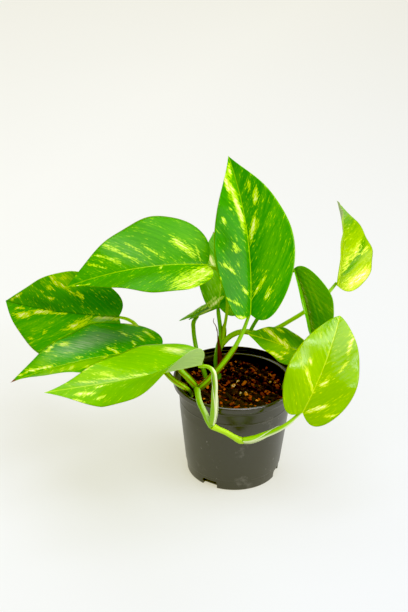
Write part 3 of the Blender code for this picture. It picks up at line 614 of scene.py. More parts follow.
def makeBladeTree():
    # a heart-shaped blade from its rule: outline by two powers, halves folded up from a bent midrib, curled
    # down again to the margin, rippled, with the midrib and side veins sunk above and raised below
    tree, add, known = newTree(
        "heartBlade", Int="Rows Columns", Vector="Base Turn", Material="Face Underside",
        Float="Length Width Droop Sweep Fold Curl RoundBase Taper Lobe LeftShare SlimLeft SlimRight Lift LiftEnd "
              "Wave Waves Phase Thickness RibWidth RibDepth RibKeel VeinSpacing VeinDepth VeinLean VeinBend")

    def vectorOf(*parts):
        return add("ShaderNodeCombineXYZ", *(known.get(part, 0.0) for part in parts))

    def partsOf(name):
        # of a vector that was kept on the sheet
        vector = add("GeometryNodeInputNamedAttribute", name, data_type="FLOAT_VECTOR")
        return add("ShaderNodeSeparateXYZ", vector).outputs

    known.update(zip(("gridX", "gridY"), add("ShaderNodeSeparateXYZ", add("GeometryNodeInputPosition")).outputs))
    for made, operation, *values in gridSteps:
        known[made] = add("ShaderNodeMath", *(known.get(value, value) for value in values), operation=operation)
    sheet = add("GeometryNodeMeshGrid", 1.0, 1.0, known["Rows"], known["Columns"])
    sheet = add("GeometryNodeStoreNamedAttribute", sheet, None, "form", vectorOf("rowMade", "acrossMade"),
                data_type="FLOAT_VECTOR")
    known.update(zip(("row", "across"), partsOf("form")))
    for made, operation, *values in shapeSteps:
        known[made] = add("ShaderNodeMath", *(known.get(value, value) for value in values), operation=operation)
    ahead = vectorOf("aheadX", "aheadY", "aheadZ")
    leftward = vectorOf("leftX", "cosLeft")
    up = add("ShaderNodeVectorMath", ahead, leftward, operation="CROSS_PRODUCT")
    point = add("ShaderNodeVectorMath", vectorOf("ribX", "ribY", "ribZ"), Scale=known["Length"], operation="SCALE")
    for direction, amount in ((ahead, "beyondLength"), (leftward, "sideways"), (up, "raised")):
        part = add("ShaderNodeVectorMath", direction, Scale=known[amount], operation="SCALE")
        point = add("ShaderNodeVectorMath", point, part, operation="ADD")
    turned = add("FunctionNodeRotateVector", point, add("FunctionNodeEulerToRotation", known["Turn"]))
    moved = add("ShaderNodeVectorMath", turned, known["Base"], operation="ADD")
    metres = add("ShaderNodeVectorMath", moved, (mm, mm, mm), operation="MULTIPLY")
    sheet = add("GeometryNodeStoreNamedAttribute", sheet, None, "plan", vectorOf("alongMm", "signedReach", "veinAt"),
                data_type="FLOAT_VECTOR")
    sheet = add("GeometryNodeStoreNamedAttribute", sheet, None, "spread", known["spread"])
    middle = add("GeometryNodeSetPosition", sheet, None, metres)
    # relief, from the plan kept on the sheet
    known.update(zip(("planAlong", "planSide", "planVein"), partsOf("plan")))
    known["planSpread"] = add("GeometryNodeInputNamedAttribute", "spread").outputs[0]
    for made, operation, *values in reliefSteps:
        known[made] = add("ShaderNodeMath", *(known.get(value, value) for value in values), operation=operation)
    faces = []
    for amount, side in (("topMetres", "Face"), ("lowMetres", "Underside")):
        rise = add("ShaderNodeVectorMath", add("GeometryNodeInputNormal"), Scale=known[amount], operation="SCALE")
        face = add("GeometryNodeSetPosition", middle, None, None, rise)
        if side == "Underside":
            face = add("GeometryNodeFlipFaces", face)
        faces.append(add("GeometryNodeSetMaterial", face, None, known[side]))
    joined = add("GeometryNodeJoinGeometry", faces[::-1])
    closed = add("GeometryNodeMergeByDistance", joined, None, touching)
    add("NodeGroupOutput", add("GeometryNodeSetShadeSmooth", add("GeometryNodeRealizeInstances", closed)))
    return tree


leafTones = dict(
    # from the deepest green to the freshest, then the rim of a patch and its cream middle
    blade_upright_centre=dict(deep="#176602", green="#2B8C05", fresh="#66B40A", pale="#B4DC1C", cream="#F2F49C"),
    blade_high_left=dict(deep="#227402", green="#3A9205", fresh="#64B20A", pale="#B0DA1E", cream="#F6F6AA"),
    blade_far_left=dict(deep="#1A8204", green="#3C9E06", fresh="#86C808", pale="#BCDC20", cream="#F4F29C",
                       rib="#1E6E04"),
    blade_low_left=dict(deep="#0E6E12", green="#2A9210", fresh="#7CBA0E", pale="#B8DA24", cream="#F2F29C"),
    blade_front_left=dict(deep="#58A406", green="#70B408", fresh="#94C80C", pale="#C4E43C", cream="#F2F6AC"),
    blade_low_right=dict(deep="#6CA600", green="#82B402", fresh="#9CC606", pale="#CCE030", cream="#F4F6B0"),
    blade_high_right=dict(deep="#54900C", green="#90B408", fresh="#B6CC10", pale="#D0E440", cream="#F4F6C4"),
    blade_hanging_right=dict(deep="#3C8C06", green="#54A20C", fresh="#86BA2C", pale="#A8CC60", cream="#DCE8A0"),
    blade_small_right=dict(deep="#348402", green="#549A04", fresh="#88B80A", pale="#C2DA20", cream="#F2EE88"),
    blade_small_left=dict(deep="#1E6E0C", green="#4C9A18", fresh="#8CC030", pale="#C4DC58", cream="#F6F4BC"),
    blade_back_centre=dict(deep="#1E7A08", green="#4CA018", fresh="#88C438", pale="#B4D458", cream="#F2F0B0"),
)
# cream patches: share of the length, mm to the left of the midrib, half length and half width in mm,
# degrees it turns left from the midrib's line, strength
patches = dict(
    blade_upright_centre=[
        (0.68, 5.5, 24, 2.8, 7, 1.35), (0.80, 10.5, 12, 1.8, -3, 1.25), (0.90, 4, 8, 2, -12, 0.95),
        (0.50, -6, 11, 2.2, -20, 1.3), (0.69, -14, 6.4, 2.2, -16, 1.3), (0.39, 13.5, 4.8, 2.8, 27, 1.1),
        (0.16, -8.5, 11, 1.6, -34, 1.05), (0.11, -16, 5, 1.8, -26, 1.1), (0.13, 6, 4, 1.6, 55, 1.05),
        (0.26, 22, 9, 1.2, 58, 1.0), (0.06, 18, 7, 1.5, 70, 0.95), (0.56, 21, 3.5, 1.4, 10, 0.95),
        (0.75, -10, 6.3, 1.3, -10, 0.95), (0.17, 29, 4, 1.4, 10, 0.95), (-0.03, 9, 4.5, 1.2, 88, 1.2),
        (0.62, 12, 5, 1.1, 25, 0.95)],
    blade_high_left=[
        (0.12, 22.5, 23, 9, 43, 1.2), (0.16, -15, 12, 2.8, -42, 1.2), (0.38, -14, 11, 0.9, -45, 0.85),
        (0.47, -16, 12, 1.1, -42, 0.9), (0.56, -14, 13, 1.3, -40, 0.9), (0.66, -12, 11, 1, -35, 0.9),
        (0.75, -9, 9, 0.9, -30, 0.85), (0.33, 3.5, 3.5, 1.2, 60, 1.15), (0.92, 4, 6, 1.2, -25, 1.1),
        (0.86, 7, 4, 1, -20, 0.9), (0.72, -17, 5, 1.1, -40, 0.95), (0.64, -22, 5, 1.2, -42, 0.95),
        (0.06, -9, 7, 1, -75, 1.0)],
    blade_far_left=[
        (0.08, 2.2, 13, 1.3, 0, 1.2), (0.30, 10, 14, 4, 28, 0.85), (0.63, 3, 10, 2.2, 12, 1.35),
        (0.78, 9.5, 9, 2.8, 10, 1.35), (0.49, 2, 9, 1, 5, 1.0), (0.83, 3.5, 6, 1.2, 8, 1.0),
        (0.54, 21, 2.5, 1.5, 60, 1.2), (0.63, 29, 3, 1, 0, 1.0), (0.76, 25, 3.5, 1.2, -35, 1.0),
        (0.55, -11, 3, 1.2, -15, 1.2), (0.63, -16, 3, 1, -20, 1.0), (0.45, -24, 6, 2, -20, 1.3),
        (0.53, -27, 6, 2.3, -40, 1.25), (0.44, -31, 4, 1.4, -10, 1.2), (0.55, -20, 5, 1.1, -15, 1.05),
        (0.30, -17, 4.5, 1.8, -30, 1.05), (0.38, -19, 6, 1.1, -25, 1.05), (0.88, -7, 9, 1.1, 32, 1.1)],
    blade_low_left=[
        (0.51, 24, 4, 1.5, 60, 1.2), (0.60, 20, 8, 1.8, 80, 1.1), (0.66, 18, 8, 1.4, 78, 1.0),
        (0.72, 14, 6, 1, 75, 0.9), (0.38, 6, 6, 3.2, 80, 1.05), (0.31, -5, 5.5, 1.6, -45, 1.3),
        (0.155, -10, 3, 1.2, -75, 1.25), (0.53, -4, 3, 1, -30, 1.05), (0.80, -3.5, 12, 1.3, -8, 1.35),
        (0.90, -4, 5, 1.2, 0, 1.2), (0.60, -23, 3.5, 2.2, 0, 1.15), (0.69, -22, 5.5, 1.8, 45, 1.25),
        (0.04, -20, 7, 1.4, -60, 1.0), (0.10, -15, 5, 1, -60, 0.95), (0.12, -34, 7, 1.4, -35, 1.1),
        (0.20, -22, 4, 0.9, -50, 0.9)],
    blade_front_left=[
        (0.14, -24, 9, 3, -38, 1.3), (0.75, 9, 8.5, 1.9, -8, 1.4), (0.66, 16.5, 4.5, 1.5, 5, 1.05),
        (0.64, 3.5, 6, 1.1, 5, 1.0), (0.41, -2, 8, 1.1, -8, 1.15), (0.60, -9, 8, 1.1, -30, 1.0),
        (0.56, -3, 14, 1, -12, 0.95), (0.80, 15, 6, 1.1, -30, 1.2), (0.70, -20, 6, 1.4, 25, 1.25),
        (0.72, -4, 8, 0.9, -16, 0.9)],
    blade_low_right=[
        (0.09, -8.5, 9, 1.9, -45, 1.4), (0.31, 8, 10, 1.5, 45, 1.15), (0.33, -6, 4.5, 2, -35, 1.05),
        (0.73, -15, 8.5, 1.8, 0, 1.2), (0.46, 13, 3, 1.1, 40, 0.95), (0.53, -15.5, 7, 0.8, -15, 0.9),
        (0.10, -22, 7, 1.1, -60, 0.95)],
    blade_high_right=[
        (0.13, -16, 15, 4.5, -42, 1.15), (0.40, -12, 11, 2.2, -22, 0.75), (0.24, -4, 9, 1.5, -10, 0.8),
        (0.44, -20, 6, 1.6, -30, 0.8), (0.14, 16, 12, 4, 40, 0.9)],
    blade_hanging_right=[
        (0.50, 2, 28, 1.3, 1, 0.8), (0.32, -21, 7.5, 1.6, -29, 0.8)],
    blade_small_right=[
        (0.50, -4, 9, 1.9, -22, 1.25), (0.66, -8, 6.5, 2.3, -15, 1.35), (0.37, -1, 5, 3, -60, 1.1),
        (0.53, 13, 7, 1.8, -5, 1.2), (0.40, 8, 4.5, 1.3, 10, 1.0), (0.12, -15, 4, 1.4, -20, 1.05),
        (0.46, -14, 4, 1.3, -20, 1.05)],
    blade_small_left=[
        (0.34, -17, 24, 2.2, -4, 1.4), (0.34, 4, 18, 1.4, 4, 1.0), (0.60, -8, 12, 1.8, -20, 1.1),
        (0.15, 13, 12, 3, 8, 0.8)],
    blade_back_centre=[
        (0.50, 10, 6.5, 2.8, 15, 1.35), (0.03, 4, 10, 1.5, -40, 1.3), (0.02, 9, 10, 1.1, -40, 1.0),
        (0.0, 22, 6, 1.8, 30, 1.1), (0.55, -9, 10, 2, -30, 1.15), (0.25, -14, 9, 1.6, -45, 1.05)],
)


# wide soft zones, laid out as the patches are: above nothing is fresher and yellower, below it deeper green
zones = dict(
    # the upright centre blade's left half is painted deeper and its right half fresher: painted shade and light from
    # the right
    blade_upright_centre=[(0.35, 20, 45, 14, 5, -0.5), (0.35, -22, 45, 13, -5, 0.5), (0.75, 4, 30, 8, 0, 0.5)],
    blade_high_left=[(0.45, 12, 28, 12, 10, -0.2), (0.60, -18, 30, 12, -25, 0.3), (0.10, -25, 16, 8, -40, 0.4)],
    blade_far_left=[(0.20, -13, 30, 10, 0, -1.6), (0.62, -5, 28, 5, -8, -1.0), (0.42, -27, 20, 9, -20, 0.9),
                    (0.65, 18, 30, 12, 0, 0.2), (0.85, -10, 16, 6, 25, 0.3), (0.20, 8, 20, 5, 20, 0.6)],
    blade_low_left=[(0.30, -20, 30, 12, 0, -1.0), (0.60, 16, 34, 12, 0, 1.5), (0.80, -8, 16, 6, 20, 0.6),
                    (0.05, -22, 14, 10, 0, 0.5)],
    blade_front_left=[(0.45, 15, 30, 12, 0, -0.3), (0.60, -10, 30, 8, -10, 0.5), (0.15, -25, 20, 8, -30, 0.3)],
    blade_low_right=[(0.35, 10, 24, 12, 20, 0.4), (0.40, -15, 24, 8, 0, -0.2), (0.90, 7, 8, 3, -30, -2.0)],
    blade_high_right=[(0.12, -16, 16, 7, -40, 0.9), (0.27, -10, 20, 2.6, -28, -1.3), (0.45, -16, 16, 2.2, -24, -1.1),
                      (0.36, -12, 12, 3, -25, 0.6), (0.80, -4, 18, 12, 0, -1.0)],
    blade_hanging_right=[(0.30, 12, 24, 6, 8, 0.4), (0.60, 14, 20, 6, 0, -0.4), (0.45, 8, 26, 0.8, 4, 0.9),
                         (0.45, 13, 24, 0.7, 8, 0.9), (0.5, -6, 24, 0.8, -4, 0.8), (0.5, -12, 22, 0.8, -8, 0.8)],
    blade_small_right=[(0.45, 4, 16, 8, 0, 0.8), (0.80, 0, 10, 5, 0, -0.4), (0.35, -12, 10, 5, 0, -0.5)],
    blade_small_left=[(0.30, -9, 26, 4, 0, -1.2), (0.30, 10, 24, 4, 6, 0.7)],
    blade_back_centre=[(0.12, -8, 14, 3, -45, -0.9), (0.30, -6, 16, 3, -45, 0.9), (0.30, 12, 20, 8, 0, 0.5),
                       (0.05, -16, 12, 3, -45, 0.9)],
)
flecking = dict(blade_upright_centre=-0.10, blade_high_left=-0.32, blade_far_left=-0.02, blade_low_left=-0.04,
                blade_front_left=-0.4, blade_low_right=-0.5, blade_high_right=-0.12, blade_hanging_right=-0.5,
                blade_small_right=0.0, blade_small_left=-0.2)    # more or fewer flecks
glosses = dict(blade_low_right=(0.14, 0.5), blade_small_left=(0.45, 0.08))     # roughness and shine, where unusual
blooms = dict(blade_small_left=0.12, blade_back_centre=0.2)     # pallor of the underside, where it isn't the usual
# dried brown tips
scorches = dict(blade_low_left=[(1.0, 0, 6, 4, 0, 1.0)], blade_back_centre=[(1.0, 0, 3, 3, 0, 0.8)])
# painted sheen: grey-green patches painted where the gloss's reflection falls, laid out as the zones, with how thick
# each is
paintedSheens = dict(
    blade_high_left=[(0.55, -18, 26, 9, -35, 0.2)],
    blade_high_right=[(0.92, 0, 16, 8, 0, 0.7)],
    blade_far_left=[(0.10, 3, 14, 3, 5, 0.8)],
    blade_low_left=[(0.52, -17, 24, 8, 10, 0.85)],
    blade_front_left=[(0.62, -2, 26, 2.5, -3, 0.6), (0.08, -18, 12, 5, -30, 0.7)],
    blade_hanging_right=[(0.45, 2, 34, 2.2, 2, 1.0)],
)


# grain of the leaf: mm across the side veins and along them, layer, detail and bend
leafGrains = dict(streaks=(2.2, 8.0, 0.0, 5.0, 0.5), flecks=(1.3, 2.6, 3.0, 3.0, 0.3),
                  mottle=(9.0, 18.0, 7.0, 3.0, 0.8))
# how far a grain, between two of its values, sways the patches' edges, the green and the painted sheen
leafSways = dict(crowds=("mottle", 0.36, 0.62, -0.34, 0.10), mottleTone=("mottle", 0.3, 0.7, -0.28, 0.28),
                 streakTone=("streaks", 0.3, 0.7, -0.12, 0.12), fleckTone=("flecks", 0.3, 0.7, -0.2, 0.2),
                 filmShare=("streaks", 0.35, 0.65, 0.15, 0.75))
leafSteps = [
    ("streakPart", "MULTIPLY_ADD", "streaks", 2.2, -1.1), ("fleckPart", "MULTIPLY_ADD", "flecks", 2.8, -1.4),
    ("grainPart", "ADD", "streakPart", "fleckPart"), ("ragged", "ADD", "grainPart", "crowds"),
    ("field", "ADD", "cream", "ragged"),
    ("toneLow", "ADD", "tone", "mottleTone"), ("toneMiddle", "ADD", "toneLow", "streakTone"),
    ("toneSum", "ADD", "toneMiddle", "fleckTone"),
    ("veinShare", "MULTIPLY", "vein", 1 / bladeShape["VeinSpacing"]), ("veinShift", "ADD", "veinShare", 0.5),
    ("veinSaw", "FRACT", "veinShift"), ("veinOff", "SUBTRACT", "veinSaw", 0.5), ("veinGap", "ABSOLUTE", "veinOff"),
    ("reach", "ABSOLUTE", "side"), ("edge", "ABSOLUTE", "across"), ("filmHere", "MULTIPLY", "film", "filmShare"),
    ("relief", "ADD", "streaks", "flecks"),
]
# the colours over the green: what each follows, from where to where, and how strong it is at both ends
leafCoats = [("fresh", "veinGap", 0.0, 0.10, 0.12, 0.0), ("pale", "field", 0.30, 0.66, 0.0, 0.9),
             ("cream", "field", 0.94, 1.50, 0.0, 0.95), ("rib", "reach", 0.2, 0.9, 0.55, 0.0),
             ("pale", "edge", 0.97, 0.998, 0.0, 0.45)]
# the first colour is the grey-green of the painted sheen, put where the gloss's reflection falls
leafPaintedSheen, leafScorch, leafBloom = "#A8BC8C", "#7A4A34", "#C8DC98"
# roughness and shine of most leaves, the range of roughness underneath, and how pale that side is
usualGloss, underGloss, usualBloom = (0.30, 0.25), (0.5, 0.6), 0.55


def makeBladeSkin(name, under):
    # living pothos leaf, grown: a waxy cuticle over green tissue that ends in feathered yellow and cream where
    # the tissue has no green; it gives a soft gloss over streaks that all run with the side veins, and a grey-green
    # painted sheen where the gloss's reflection falls
    material, add = makeMaterial(name + ("_underside" if under else "_skin"))
    tones = {"rib": leafTones[name]["pale"], **leafTones[name]}
    known = {kept: add("ShaderNodeAttribute", attribute_name=kept).outputs["Fac"]
             for kept in ("cream", "tone", "film", "scorch")}
    for kept, *parts in (("plan", "along", "side", "vein"), ("form", "row", "across")):
        vector = add("ShaderNodeAttribute", attribute_name=kept).outputs["Vector"]
        known.update(zip(parts, add("ShaderNodeSeparateXYZ", vector).outputs))
    for grain, (width, length, layerAt, detail, bend) in leafGrains.items():
        at = add("ShaderNodeCombineXYZ", add("ShaderNodeMath", known["vein"], 1 / width, operation="MULTIPLY"),
                 add("ShaderNodeMath", known["side"], 1 / length, operation="MULTIPLY"), layerAt)
        known[grain] = add("ShaderNodeTexNoise", at, 1.0, detail, 0.6, Distortion=bend)
    for sway, (grain, *ends) in leafSways.items():
        known[sway] = add("ShaderNodeMapRange", known[grain], *ends)
    for made, operation, *values in leafSteps:
        known[made] = add("ShaderNodeMath", *(known.get(value, value) for value in values), operation=operation)
    green = add("ShaderNodeValToRGB", add("ShaderNodeMapRange", known["toneSum"], -1.0, 1.0))
    tintRamp(green, (0.0, tones["deep"]), (0.5, tones["green"]), (1.0, tones["fresh"]))
    coats = [(add("ShaderNodeMapRange", known[source], *ends, interpolation_type="SMOOTHSTEP"), tones[key])
             for key, source, *ends in leafCoats]
    # grey-green painted sheen over the green, where the gloss's reflection falls
    coats += [(known["filmHere"], leafPaintedSheen), (add("ShaderNodeMapRange", known["scorch"], 0.35, 0.6), leafScorch)]
    if under:
        coats.append((blooms.get(name, usualBloom), leafBloom))
    smooth, shine = glosses.get(name, usualGloss)
    gloss = add("ShaderNodeMapRange", known["mottle"], 0.3, 0.7, *(underGloss if under else (smooth, smooth + 0.10)))
    return finish(material, known["relief"], 0.2, 0.3, colour=layColours(add, green, *coats), roughness=gloss,
                  ior=1.42, shine=shine)


def markLeaf(mesh, length, attribute, marks, start, sharp):
    # a soft field of marks, which the skin breaks up into streaks; a sharp one keeps the strongest mark
    count = len(mesh.vertices)
    plan = np.zeros(count * 3, np.float32)
    mesh.attributes["plan"].data.foreach_get("vector", plan)
    along, side = plan.reshape(-1, 3)[:, 0], plan.reshape(-1, 3)[:, 1]
    field = np.full(count, start)
    for share, left, halfLength, halfWidth, degrees, strength in marks:
        angle = math.radians(degrees)
        x, y = along - share * length, side - left
        forward = (x * math.cos(angle) + y * math.sin(angle)) / halfLength
        aside = (y * math.cos(angle) - x * math.sin(angle)) / halfWidth
        if sharp:
            field = np.maximum(field, strength * np.exp(-0.7 * (forward ** 4 + aside ** 2)))
        else:
            field = field + strength * np.exp(-(forward ** 2 + aside ** 2))
    mesh.attributes.new(attribute, "FLOAT", "POINT").data.foreach_set("value", field.astype(np.float32))


def leafTurn(leaf):
    return Euler((math.radians(leaf["roll"]), -math.radians(leaf["pitch"]), math.radians(leaf["heading"])))


leafSlots = dict(blade_low_right="leaf_lime", blade_high_right="leaf_lime", blade_front_left="leaf_lime",
                 blade_far_left="leaf_dark_green", blade_low_left="leaf_dark_green",
                 blade_hanging_right="leaf_dark_green", blade_back_centre="leaf_dark_green")


def makeBlades():
    tree = makeBladeTree()
    for name, own in blades.items():
        leaf = {**bladeStart, **own}
        values = {key[0].upper() + key[1:]: float(value) for key, value in leaf.items() if key != "base"}
        for key in ("Droop", "Sweep", "Fold", "Curl", "Lift"):
            values[key] = math.radians(values[key] + 0.01)      # never exactly flat, which the rule can't take
        values.update(Turn=list(leafTurn(leaf)), Base=[float(value) for value in leaf["base"]],
                      Face=makeBladeSkin(name, False), Underside=makeBladeSkin(name, True))
        piece = grow("leaf_" + name[6:], tree, {**bladeShape, **values})
        for attribute, marks, start in (("cream", patches, flecking.get(name, 0.0)), ("tone", zones, 0.0),
                                        ("film", paintedSheens, 0.0), ("scorch", scorches, 0.0)):
            markLeaf(piece.data, leaf["length"], attribute, marks.get(name, []), start, attribute == "cream")
        keep(piece, leafSlots.get(name, "leaf_mid_green"), name)


makeBlades()
print("leaf blades made")

# the vines, petioles and their sheaths
tube = dict(Step=0.8 * mm, Sides=24)
weld = 0.01 * mm        # points this near become one where stems run into each other
petioleTip, petioleTuck, bladeClear = 1.2, 3.0, 2.0     # radius, and how far under the midrib its end sits
plain = dict(yellow=0.3, pale=0.0, rust=0.0, paleSide=(0, 0, -1))
# each route is points with a radius; blade is the leaf that it carries, and the rest are its looks: how yellow,
# pale and rusty it is, and the side that is painted pale, a painted sheen where that side would catch the light. A
# sheath clasps the share of the route between its two ends, and opens towards a side
stems = dict(
    vine_front=[
        dict(points=[(-32, -8, 56, 2.4), (-32, -8, 77, 2.4), (-32, -8, 81.5, 2.5), (-32, -13, 86, 2.7),
                     (-32, -20, 89, 3.0), (-31, -31, 92.6, 2.6), (-30, -42, 94, 2.5), (-28, -51, 93, 2.5),
                     (-24, -57, 88, 2.5), (-21, -59, 82, 2.6), (-18, -60, 78, 3.0)],
             yellow=0.45, pale=0.35, paleSide=(0.8, -0.4, 0.2)),
        dict(points=[(-18, -60, 78, 3.0), (-13, -59, 74.5, 2.4), (-7, -58, 71, 2.3), (0, -57, 66, 2.4),
                     (6, -56, 62, 3.0), (9, -56, 61.8, 2.4)], yellow=1.0),
        dict(points=[(-32, -20, 88.5, 1.6), (-27, -26, 95.5, 2.2), (-16, -25, 109, 1.9), (-6, -21, 122, 1.8),
                     (3, -16, 137, 1.8)], blade="blade_upright_centre", yellow=0.35, rust=0.9,
             sheath=(0.03, 0.75, (-0.2, -0.8, 0.5))),
        dict(points=[(-32, -20, 88.5, 1.6), (-35, -23, 95.5, 2.4), (-45.5, -21.5, 107, 2.0),
                     (-55.5, -16, 115, 1.7)], blade="blade_low_left", yellow=0.4, rust=0.8,
             sheath=(0.05, 0.7, (0.3, -0.5, 0.8))),
        dict(points=[(-18, -60, 78, 2.0), (-16.5, -63, 92, 2.6), (-16, -67.5, 113, 2.3), (-16.2, -70, 128, 2.0),
                     (-18.2, -69, 136, 1.8), (-22.5, -65.8, 137.6, 1.5)], blade="blade_front_left",
             pale=0.9, yellow=0.55, paleSide=(1, -0.3, 0), sheath=(0.04, 0.8, (0.9, -0.5, 0.1))),
        dict(points=[(6, -56, 62, 2.0), (14, -57, 63.5, 2.6), (25, -57.5, 68.5, 2.3), (42, -58, 79, 1.9)],
             blade="blade_low_right", yellow=0.6, pale=0.85, paleSide=(0.2, -0.5, -0.85),
             sheath=(0.04, 0.6, (0.1, -0.8, -0.5))),
    ],
    stem_left=[
        dict(points=[(-37, -17, 56, 1.9), (-37, -17, 77, 1.9), (-37, -17, 80.5, 2.0), (-38.5, -21, 87, 2.0),
                     (-42, -25, 92.8, 2.0), (-49, -22, 95.5, 1.9), (-57, -13.5, 98, 1.8), (-72, 4, 110.5, 1.7),
                     (-86, 22, 124.5, 1.6), (-93, 27, 127, 1.5)], blade="blade_far_left", yellow=0.8, rust=0.7,
             sheath=(0.30, 0.62, (0.2, -0.5, 0.8))),
    ],
    stem_centre=[
        dict(points=[(-15, 13, 56, 2.8), (-15, 13, 80, 2.9), (-16, 13, 98, 2.9), (-14.5, 12.5, 112, 3.0),
                     (-13.5, 13, 121, 1.9), (-14.4, 16, 131, 1.8), (-16, 22.5, 139, 1.7)],
             blade="blade_back_centre", yellow=0.1),
        dict(points=[(-14.5, 12.5, 108, 1.6), (-11.4, 12.6, 120, 1.6), (-10.6, 13, 129, 1.4),
                     (-9, 15, 141, 1.3), (-8.6, 17.5, 153, 1.3), (-10.5, 18.5, 168, 1.4), (-16, 19, 181, 1.5)],
             blade="blade_high_left", yellow=0.7, rust=0.7, sheath=(0.02, 0.30, (0.2, -1, 0))),
        dict(points=[(-15, 12.5, 108, 2.0), (-10, 12, 117, 2.3), (-3, 12, 124, 2.3), (5, 14, 126, 2.3),
                     (12, 17, 124, 2.5), (22, 22, 120.5, 2.0), (34, 29, 122, 1.9), (46, 32, 128.5, 1.8),
                     (58, 35, 136, 1.8), (70, 38.5, 146, 1.7), (78, 40.5, 153, 1.6)],
             blade="blade_high_right", yellow=0.55),
        dict(points=[(11, 16.5, 124.5, 1.5), (17.5, 16.5, 138, 1.6), (31, 15, 162, 1.6), (39, 14, 178, 1.6),
                     (42, 14, 186, 1.5)], blade="blade_hanging_right", yellow=0.0),
    ],
    stem_small_left=[
        dict(points=[(-26, 12, 56, 2.0), (-26, 12, 78, 2.0), (-26, 12, 82.5, 2.0), (-29.5, 16.5, 91, 2.0),
                     (-33.1, 20, 100, 1.9), (-35.5, 25, 108, 1.9), (-37.2, 30.5, 117.5, 1.8),
                     (-37.2, 33, 123.5, 1.9)], blade="blade_small_left", yellow=0.2),
    ],
    stem_small_right=[
        dict(points=[(42, 2, 56, 1.7), (42, 2, 77, 1.7), (42, 2, 81, 1.8), (46.5, 3.5, 90, 1.8),
                     (53, 7, 99, 1.7)], blade="blade_small_right", yellow=0.4),
    ],
)


fibreLength, fibreSpread = 30, 3.0      # mm along the stem, and how fine they are around it
sheath = dict(Rows=60, Columns=25, Clearance=0.25, Sweep=math.radians(148), Thickness=0.3, Frill=0.5)
driedSheath = dict(From=0.0, To=1.0, Clearance=0.3, Sweep=math.radians(38), Thickness=0.4, Frill=0.8,
                   Back=[0.35, -1.0, 0.0], Looks=[0.0, 0.0, 1.0])
driedThread = [(-16.4, 8.9, 128.5, 0.5), (-17.8, 8.5, 134, 0.35), (-19.8, 8.2, 138, 0.28), (-19.4, 8.1, 141.5, 0.2)]
driedRoute = [(-14.2, 11.0, 88, 2.9), (-14.6, 11.2, 98, 2.9), (-15.2, 10.6, 110, 2.8), (-16.2, 9.6, 121, 1.8),
              (-17.0, 8.6, 131.4, 0.7)]


def routeCurve(name, points):
    curve = bpy.data.curves.new(name, "CURVE")
    curve.dimensions = "3D"
    curve.resolution_u = 16
    spline = curve.splines.new("BEZIER")
    spline.bezier_points.add(len(points) - 1)
    for knot, (x, y, z, radius) in zip(spline.bezier_points, points):
        knot.co = Vector((x, y, z)) * mm
        knot.radius = radius
        knot.handle_left_type = knot.handle_right_type = "AUTO"
    return curve


def petioleEnd(leaf):
    end = Vector(leaf["base"]) + leafTurn(leaf).to_matrix() @ Vector((petioleTuck, 0, -bladeClear))
    return (*end, petioleTip)


def makeTubeTree():
    # a round stem along a path; it keeps how far along the path, in mm, and how far around each point is
    tree, add, given = newTree("roundStem", Geometry="Geometry", Float="Step", Int="Sides", Vector="Looks PaleSide")
    path = add("GeometryNodeResampleCurve", given["Geometry"], None, given["Step"], mode="LENGTH")
    run = add("ShaderNodeMath", add("GeometryNodeSplineParameter").outputs["Length"], 1000.0, operation="MULTIPLY")
    path = add("GeometryNodeStoreNamedAttribute", path, None, "run", run)
    ring = add("GeometryNodeCurvePrimitiveCircle", given["Sides"], 1.0 * mm)
    ring = add("GeometryNodeStoreNamedAttribute", ring, None, "around",
               add("GeometryNodeSplineParameter").outputs["Factor"])
    skin = add("GeometryNodeCurveToMesh", path, ring, add("GeometryNodeInputRadius"), True)
    for kept, source in (("looks", "Looks"), ("paleSide", "PaleSide")):
        skin = add("GeometryNodeStoreNamedAttribute", skin, None, kept, given[source], data_type="FLOAT_VECTOR")
    add("NodeGroupOutput", skin)
    return tree


sheathSteps = [
    ("run", "ADD", "gridX", 0.5), ("across", "MULTIPLY", "gridY", 2.0), ("reach", "SUBTRACT", "To", "From"),
    ("factor", "MULTIPLY_ADD", "run", "reach", "From"), ("runPower", "POWER", "run", 2.5),
    ("taper", "SUBTRACT", 1.0, "runPower"), ("width", "MULTIPLY", "taper", "Sweep"),
    ("angle", "MULTIPLY", "across", "width"), ("backShare", "COSINE", "angle"), ("rightShare", "SINE", "angle"),
    ("away", "ABSOLUTE", "across"), ("margin", "POWER", "away", 4.0), ("rippled", "MULTIPLY", "ripple", "margin"),
    ("flare", "MULTIPLY", "rippled", "Frill"), ("thick", "MULTIPLY", "Thickness", mm),
]
armSteps = [("clear", "ADD", "radius", "Clearance"), ("armLength", "ADD", "clear", "flare"),
            ("arm", "MULTIPLY", "armLength", mm)]


